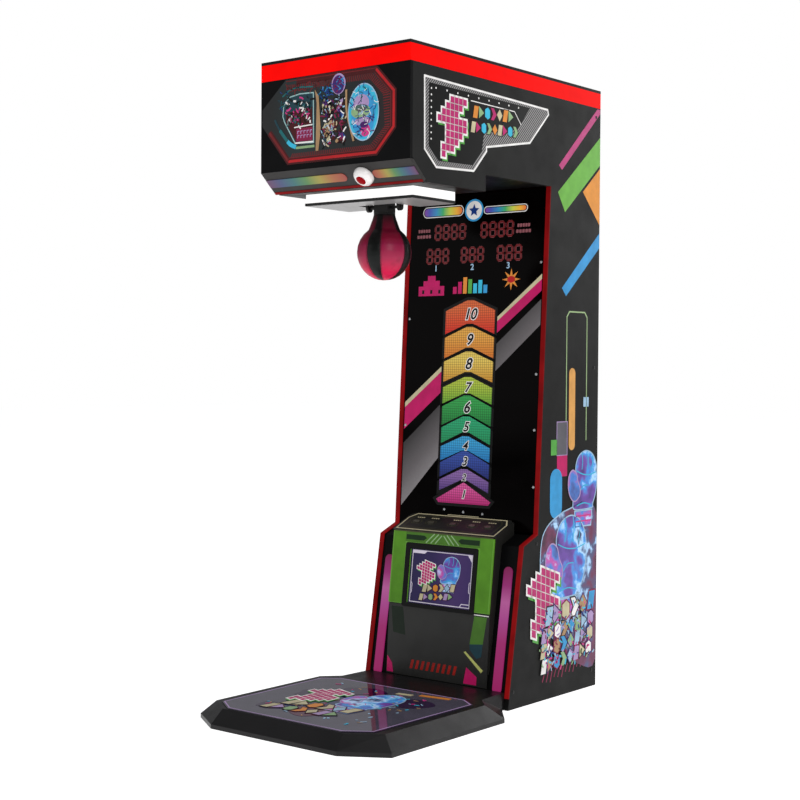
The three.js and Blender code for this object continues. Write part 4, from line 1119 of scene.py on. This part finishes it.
def draw_console():
    top = Art(Face("console_top_panel", Vector((0, -0.4, 0.9)).normalized()))
    rim = [(-218, -516), (218, -516), (220, -440), (200, -409), (-200, -409), (-220, -440)]
    top.line(rim, 5, "cream", 0, True)
    inner_rim = [(-198, -505), (198, -505), (200, -440), (186, -420), (-186, -420), (-200, -440)]
    top.line(inner_rim, 2.4, "olive", 0, True)
    for a in (-166, -100, 0, 85, 155):
        for left in (a - 17, a - 8, a + 1, a + 10):
            top.plate(rect(left, -436, left + 6, -431), "cream", 0)
        top.line(rounded(a - 22, -475, a + 22, -451, 11), 2, "olive", 0, True)
    top.plate(rect(-70, -402, 70, -398.5), "cream", 1)
    top.done("console_top_print")

    front = Art(Face("console_front_panel", FRONT))
    for sign in (-1, 1):
        bar = [(sign * 168, 579), (sign * 221, 579), (sign * 219, 322), (sign * 164, 322)]
        front.plate(bar, "console_green", 0)
        arrow = [(164, 569), (82, 569), (70, 561), (84, 551), (164, 551)]
        front.plate([(sign * a, b) for a, b in arrow], "dark_green", 1)
        for start, end in (((74, 544), (37, 578)), ((52, 544), (18, 578)), ((32, 544), (4, 574))):
            front.line([(sign * start[0], start[1]), (sign * end[0], end[1])], 4, "green_pale", 1)
    front.plate(rect(-167, 543, 167, 579), "moss", 0)
    front.line([(-221, 581), (221, 581)], 5, "olive", 1)
    # dark surround of the screen
    outer = rounded(-162, 311, 162, 541, 8)
    inner = rounded(-141, 326, 141, 519, 2)
    front.ring(outer, inner, "black_gloss", 1, 2.2)
    front.done("console_front_trim")

    screen = Art(Face("console_screen", FRONT))
    white = "screen_white"
    screen.line(rect(-133, 330, 134, 514), 3, white, 0, True)
    screen.plate([(-134, 515), (-66, 515), (-79, 504), (-134, 504)], white, 1)
    screen.plate([(112, 515), (135, 515), (135, 486)], white, 1)
    for a, b in ((-131, 360), (131, 380)):
        near = a - math.copysign(4, a)
        screen.line([(a, b + 40), (near, b + 34), (near, b + 6), (a, b)], 2.5, white, 1)
    screen.line([(92, 330), (99, 341), (132, 341)], 3, white, 1)
    key_art(screen, lambda p: (p[0] * 0.86 - 108, p[1] * 0.76 + 334), 1, 2.4)
    screen.done("screen_print")

    lower = Art(Face("console_lower_panel", FRONT))
    for sign, name in ((-1, "shade_green"), (1, "moss")):
        bar = [(160, 306), (214, 306), (201, 212), (144, 206)]
        lower.plate([(sign * a, b) for a, b in bar], name, 0)
    lower.plate([(144, 206), (201, 212), (197, 168), (176, 158), (146, 188)], "teal_dark", 0)
    lower.plate([(134, 125), (181, 96), (180, 67), (124, 67)], "glass_magenta", 0)
    lower.plate([(-223, 125), (-200, 100), (-193, 67), (-223, 67)], "glass_magenta", 0)
    lower.plate([(121, 176), (128, 180), (206, 122), (199, 112)], "yellow", 1)
    # painted highlight: a white line along the step under the upper front, at its right end only
    lower.line([(158, 311), (222, 311)], 3, "white", 1)
    for a in range(-118, 98, 24):
        lower.plate([(a, 90), (a + 12, 90), (a + 20, 122), (a + 8, 122)], "red_soft", 0)
    lower.done("console_lower_print")


# ---------------------------------------------------------------- the platform


def draw_platform():
    art = Art(Face("platform_glass", UP))
    border = [
        (-245, -1355), (245, -1355), (330, -1295), (338, -797), (275, -752),
        (-275, -752), (-338, -797), (-330, -1295),
    ]
    art.ring(shrunk(border, 5), shrunk(border, 10), "lilac", 1)
    art.plate(shrunk(border, 10), "deck_field", 0)
    draw = random.Random(4)
    hazes = ["deck_blue", "deck_plum", "deck_wine", "deck_plum"]
    for i in range(14):
        a, b = draw.uniform(-220, 220), draw.uniform(-1250, -850)
        radius = draw.uniform(40, 80)
        dent = radius * draw.uniform(0.6, 0.9)
        blob = smooth(star(a, b, radius, dent, 3 + i % 3, draw.uniform(0, 90)), 4)
        art.plate(blob, hazes[i % 4], 1 + i % 4)
    key_art(art, lambda p: (p[0] * 1.62 - 215, p[1] * 1.9 - 1278), 5, 4.5)
    art.plate(leaned(rect(120, -812, 235, -792), 0.15, 120), "orange", 5)
    art.plate(leaned(rect(40, -838, 100, -818), 0.15, 40), "cream", 5)
    scribble(art, draw, (-230, -1270), (230, -830), 70, ["pale_blue", "pink_hot", "cyan", "tan"], 6, 5.0)
    art.done("platform_print")
    add_underside()


NOTCH_HALF = 80.0  # of the strike plate's rear notch, with its depth
NOTCH_DEPTH = 127.0


def add_underside():
    """The pale skin on the underside of the strike plate, notched for the bag's arm."""
    low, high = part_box("strike_plate")
    front, rear = (low.y - DATUM.y) / MM + 3, (high.y - DATUM.y) / MM - 2
    half = (high.x - low.x) / 2 / MM - 3
    notch, step = NOTCH_HALF + 2, rear + 2 - NOTCH_DEPTH
    outline = [
        (-half, front), (half, front), (half, rear), (notch, rear),
        (notch, step), (-notch, step), (-notch, rear), (-half, rear),
    ]
    skin = Art(Face("strike_plate", -UP))
    skin.plate(outline, "plate_pale", 0, 0.8)
    skin.done("strike_plate_skin")


# ---------------------------------------------------------------- the punch bag

BAG_GORES = 4  # pairs of a black and a crimson gore
BAG_BLACK = 32.0  # degrees of a black gore
BAG_RED = 58.0
BAG_BLACK_MIDDLE = -75.0  # direction of one black gore's middle
BAG_PUFF = 2.2  # mm that a gore stands out between its seams
BAG_SHRINK = 0.982  # the skin's share of the CAD bag's radius
BAG_RADIUS = 0.093
BAG_ROWS = 74
SEAM_DEPTH = 0.9  # all of these in mm
STITCH_OFFSET = 2.6
STITCH_HALF = 0.45
STITCH_LIFTS = (0.05, 1.1)


def bag_profile():
    """Radius and height up the CAD bag's outline, evenly spaced along it."""
    low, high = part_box("punch_bag")
    middle = (low + high) / 2
    rings = {}
    for vertex in NODES["punch_bag"].data.vertices:
        radius = math.hypot(vertex.co.x - middle.x, vertex.co.y - middle.y)
        key = round(vertex.co.z, 4)
        rings[key] = max(rings.get(key, 0.0), radius)
    points = [Vector((radius, z)) for z, radius in sorted(rings.items())]
    lengths = [(b - a).length for a, b in zip(points, points[1:])]
    made = []
    for row in range(BAG_ROWS + 1):
        want = sum(lengths) * row / BAG_ROWS
        for (a, b), length in zip(zip(points, points[1:]), lengths):
            if want <= length + 1e-9:
                made.append(a.lerp(b, want / length))
                break
            want -= length
    return middle, made


def round_axis(middle, reach, turn, z):
    return middle.x + reach * math.cos(turn), middle.y + reach * math.sin(turn), z


def add_bag(crimson, black, thread):
    """The padded skin: gores that swell between sunken seams."""
    middle, profile = bag_profile()
    columns = []
    angle = BAG_BLACK_MIDDLE - BAG_BLACK / 2
    for _ in range(BAG_GORES):
        for span, steps, index in ((BAG_BLACK, 9, 1), (BAG_RED, 15, 0)):
            for i in range(steps):
                columns.append((angle + span * i / steps, i / steps, index))
            angle += span
    built = bmesh.new()
    low_z, high_z = profile[0].y, profile[-1].y
    rows = []
    for radius, z in profile[1:]:
        share = (z - low_z) / (high_z - low_z)
        fullness = 0.35 + 0.65 * math.sin(math.pi * min(1.0, share + 0.08))
        envelope = min(1.0, 4.0 * radius / BAG_RADIUS) * fullness
        ring = []
        for degrees, u, _ in columns:
            swell = (math.sin(math.pi * u) ** 0.55) * BAG_PUFF * MM - SEAM_DEPTH * MM * (u < 1e-6)
            reach = max(0.001, radius * BAG_SHRINK + (swell - 0.4 * MM) * envelope)
            ring.append(built.verts.new(round_axis(middle, reach, math.radians(degrees), z)))
        rows.append(ring)
    foot = built.verts.new((middle.x, middle.y, low_z + 0.0006))
    for below, above in zip(rows, rows[1:]):
        for face, (_, _, index) in zip(bridge(built, below, above), columns):
            face.material_index = index
            face.smooth = True
    for i, (_, _, index) in enumerate(columns):
        face = built.faces.new([foot, rows[0][(i + 1) % len(columns)], rows[0][i]])
        face.material_index = index
        face.smooth = True
    built.faces.new(rows[-1]).material_index = 1
    bag = piece("punch_bag_padded", built, [crimson, black], "swing")
    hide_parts("punch_bag")
    add_bag_stitches(middle, profile, columns, thread)


def add_bag_stitches(middle, profile, columns, thread):
    """Short threads beside each seam, lying on the leather."""
    seams = [degrees for degrees, u, _ in columns if u < 1e-6]
    built = bmesh.new()
    for degrees in seams:
        for side in (-1, 1):
            for a, b in list(zip(profile, profile[1:]))[6:-5]:
                radius = a.x * BAG_SHRINK
                turn = math.radians(degrees) + side * STITCH_OFFSET * MM / max(radius, 0.02)
                half = STITCH_HALF * MM / max(radius, 0.01)
                corners = []
                for lift in STITCH_LIFTS:
                    for t, w in ((0.15, -1), (0.15, 1), (0.8, 1), (0.8, -1)):
                        point = a.lerp(b, t)
                        reach = point.x * BAG_SHRINK + lift * MM
                        corners.append(built.verts.new(round_axis(middle, reach, turn + w * half, point.y)))
                low, high = corners[:4], corners[4:]
                built.faces.new(low[::-1])
                built.faces.new(high)
                bridge(built, low, high)
    piece("bag_stitching", built, [thread], "swing")


# ---------------------------------------------------------------- small parts and the back


def draw_details():
    back = Face("back_panel", BACK)
    places = [(a, b) for b in (60, 240, 1560, 1860, 2150) for a in (-285, 285)]
    places += [(a, b) for b in (60, 1560, 2150) for a in (-95, 95)]
    add_screws("back_panel_screws", back, places, 5.0, STEEL)
    vents = Art(Face("rear_door", BACK))
    for b in [low + 26 * i for low in (400, 1220) for i in range(8)]:
        # the black strip under each louver is painted shade standing in for the vent's open slot
        vents.line([(-110, b), (110, b)], 9, "black", 0)
        vents.line([(-113, b + 6), (113, b + 6)], 3, STEEL, 0, False, 3.0)
    vents.done("door_vents", "door")
    for side, towards in (("left", LEFT), ("right", RIGHT)):
        face = Face(f"side_panel_{side}", towards)
        bolts = [(-30, 60), (-30, 1180), (-30, 2100), (-540, 60), (-400, 560)]
        add_screws(f"side_bolts_{side}", face, bolts, 6.0, SLOTS["black_metal"])


# ---------------------------------------------------------------- the scene


def finish_nodes():
    """Gives every CAD node its slot's finish, and a few their own."""
    own = {
        # the chamfer's vinyl is the cabinet vinyl made lighter: painted light on the sloping panel
        "chamfer_panel": coated("chamfer_vinyl_painted_light", "242221", "2b2928", 0.4, 1400.0, 0.00006, 0.2),
        "arm_bearing_left": SLOTS["black_metal"],
        "arm_bearing_right": SLOTS["black_metal"],
        "rainbow_lens_right": lens("rainbow_lens_mirrored", "rainbow_lens_right", LENS_TONES[::-1]),
    }
    for name, node in NODES.items():
        for slot in node.material_slots:
            key = slot.material.name.split(".")[0]
            slot.material = own.get(name) or SLOTS[key]


FLOOR_HALF = 30.0
FLOOR_GAP = 0.0005


def add_floor():
    mesh = bpy.data.meshes.new("floor")
    corners = rect(-FLOOR_HALF, -FLOOR_HALF, FLOOR_HALF, FLOOR_HALF)
    mesh.from_pydata([(x, y, cad_low.z - FLOOR_GAP) for x, y in corners], [], [(0, 1, 2, 3)])
    shader = Shader("floor", 0.7, 0.0, 0.1)
    shader.colour(shader.mix(shader.noise(2.0), (0.93, 0.93, 0.93, 1), (0.9, 0.9, 0.9, 1)))
    shader.glow((1, 1, 1, 1), 0.76)
    mesh.materials.append(shader.material)
    new_object("floor", mesh)


add_camera()
add_world()
add_floor()
MACHINE_MIDDLE = (0, 0, 1.1)
add_light("key", (4.6, -2.6, 3.6), MACHINE_MIDDLE, 3.0, 110)
add_light("fill", (-3.6, -4.6, 2.6), MACHINE_MIDDLE, 3.0, 22)
add_light("top", (0.0, 0.6, 5.2), (0, 0, 0), 4.0, 70)
add_light("back", (1.5, 5.0, 2.6), MACHINE_MIDDLE, 3.0, 60)
SLOTS = slot_finishes()
STEEL = SLOTS["zinc_steel"]
INKS = make_inks()
finish_nodes()
draw_score_glass()
draw_marquee()
draw_side("right", RIGHT)
draw_side("left", LEFT)
draw_console()
draw_platform()
draw_details()
black_leather = leather("bag_black", BLACK_TONES)
bag_thread = coated("bag_thread", "3a2028", "50303a", 0.7, 300.0, 0.0001, 0.2)
add_bag(SLOTS["bag_leather"], black_leather, bag_thread)
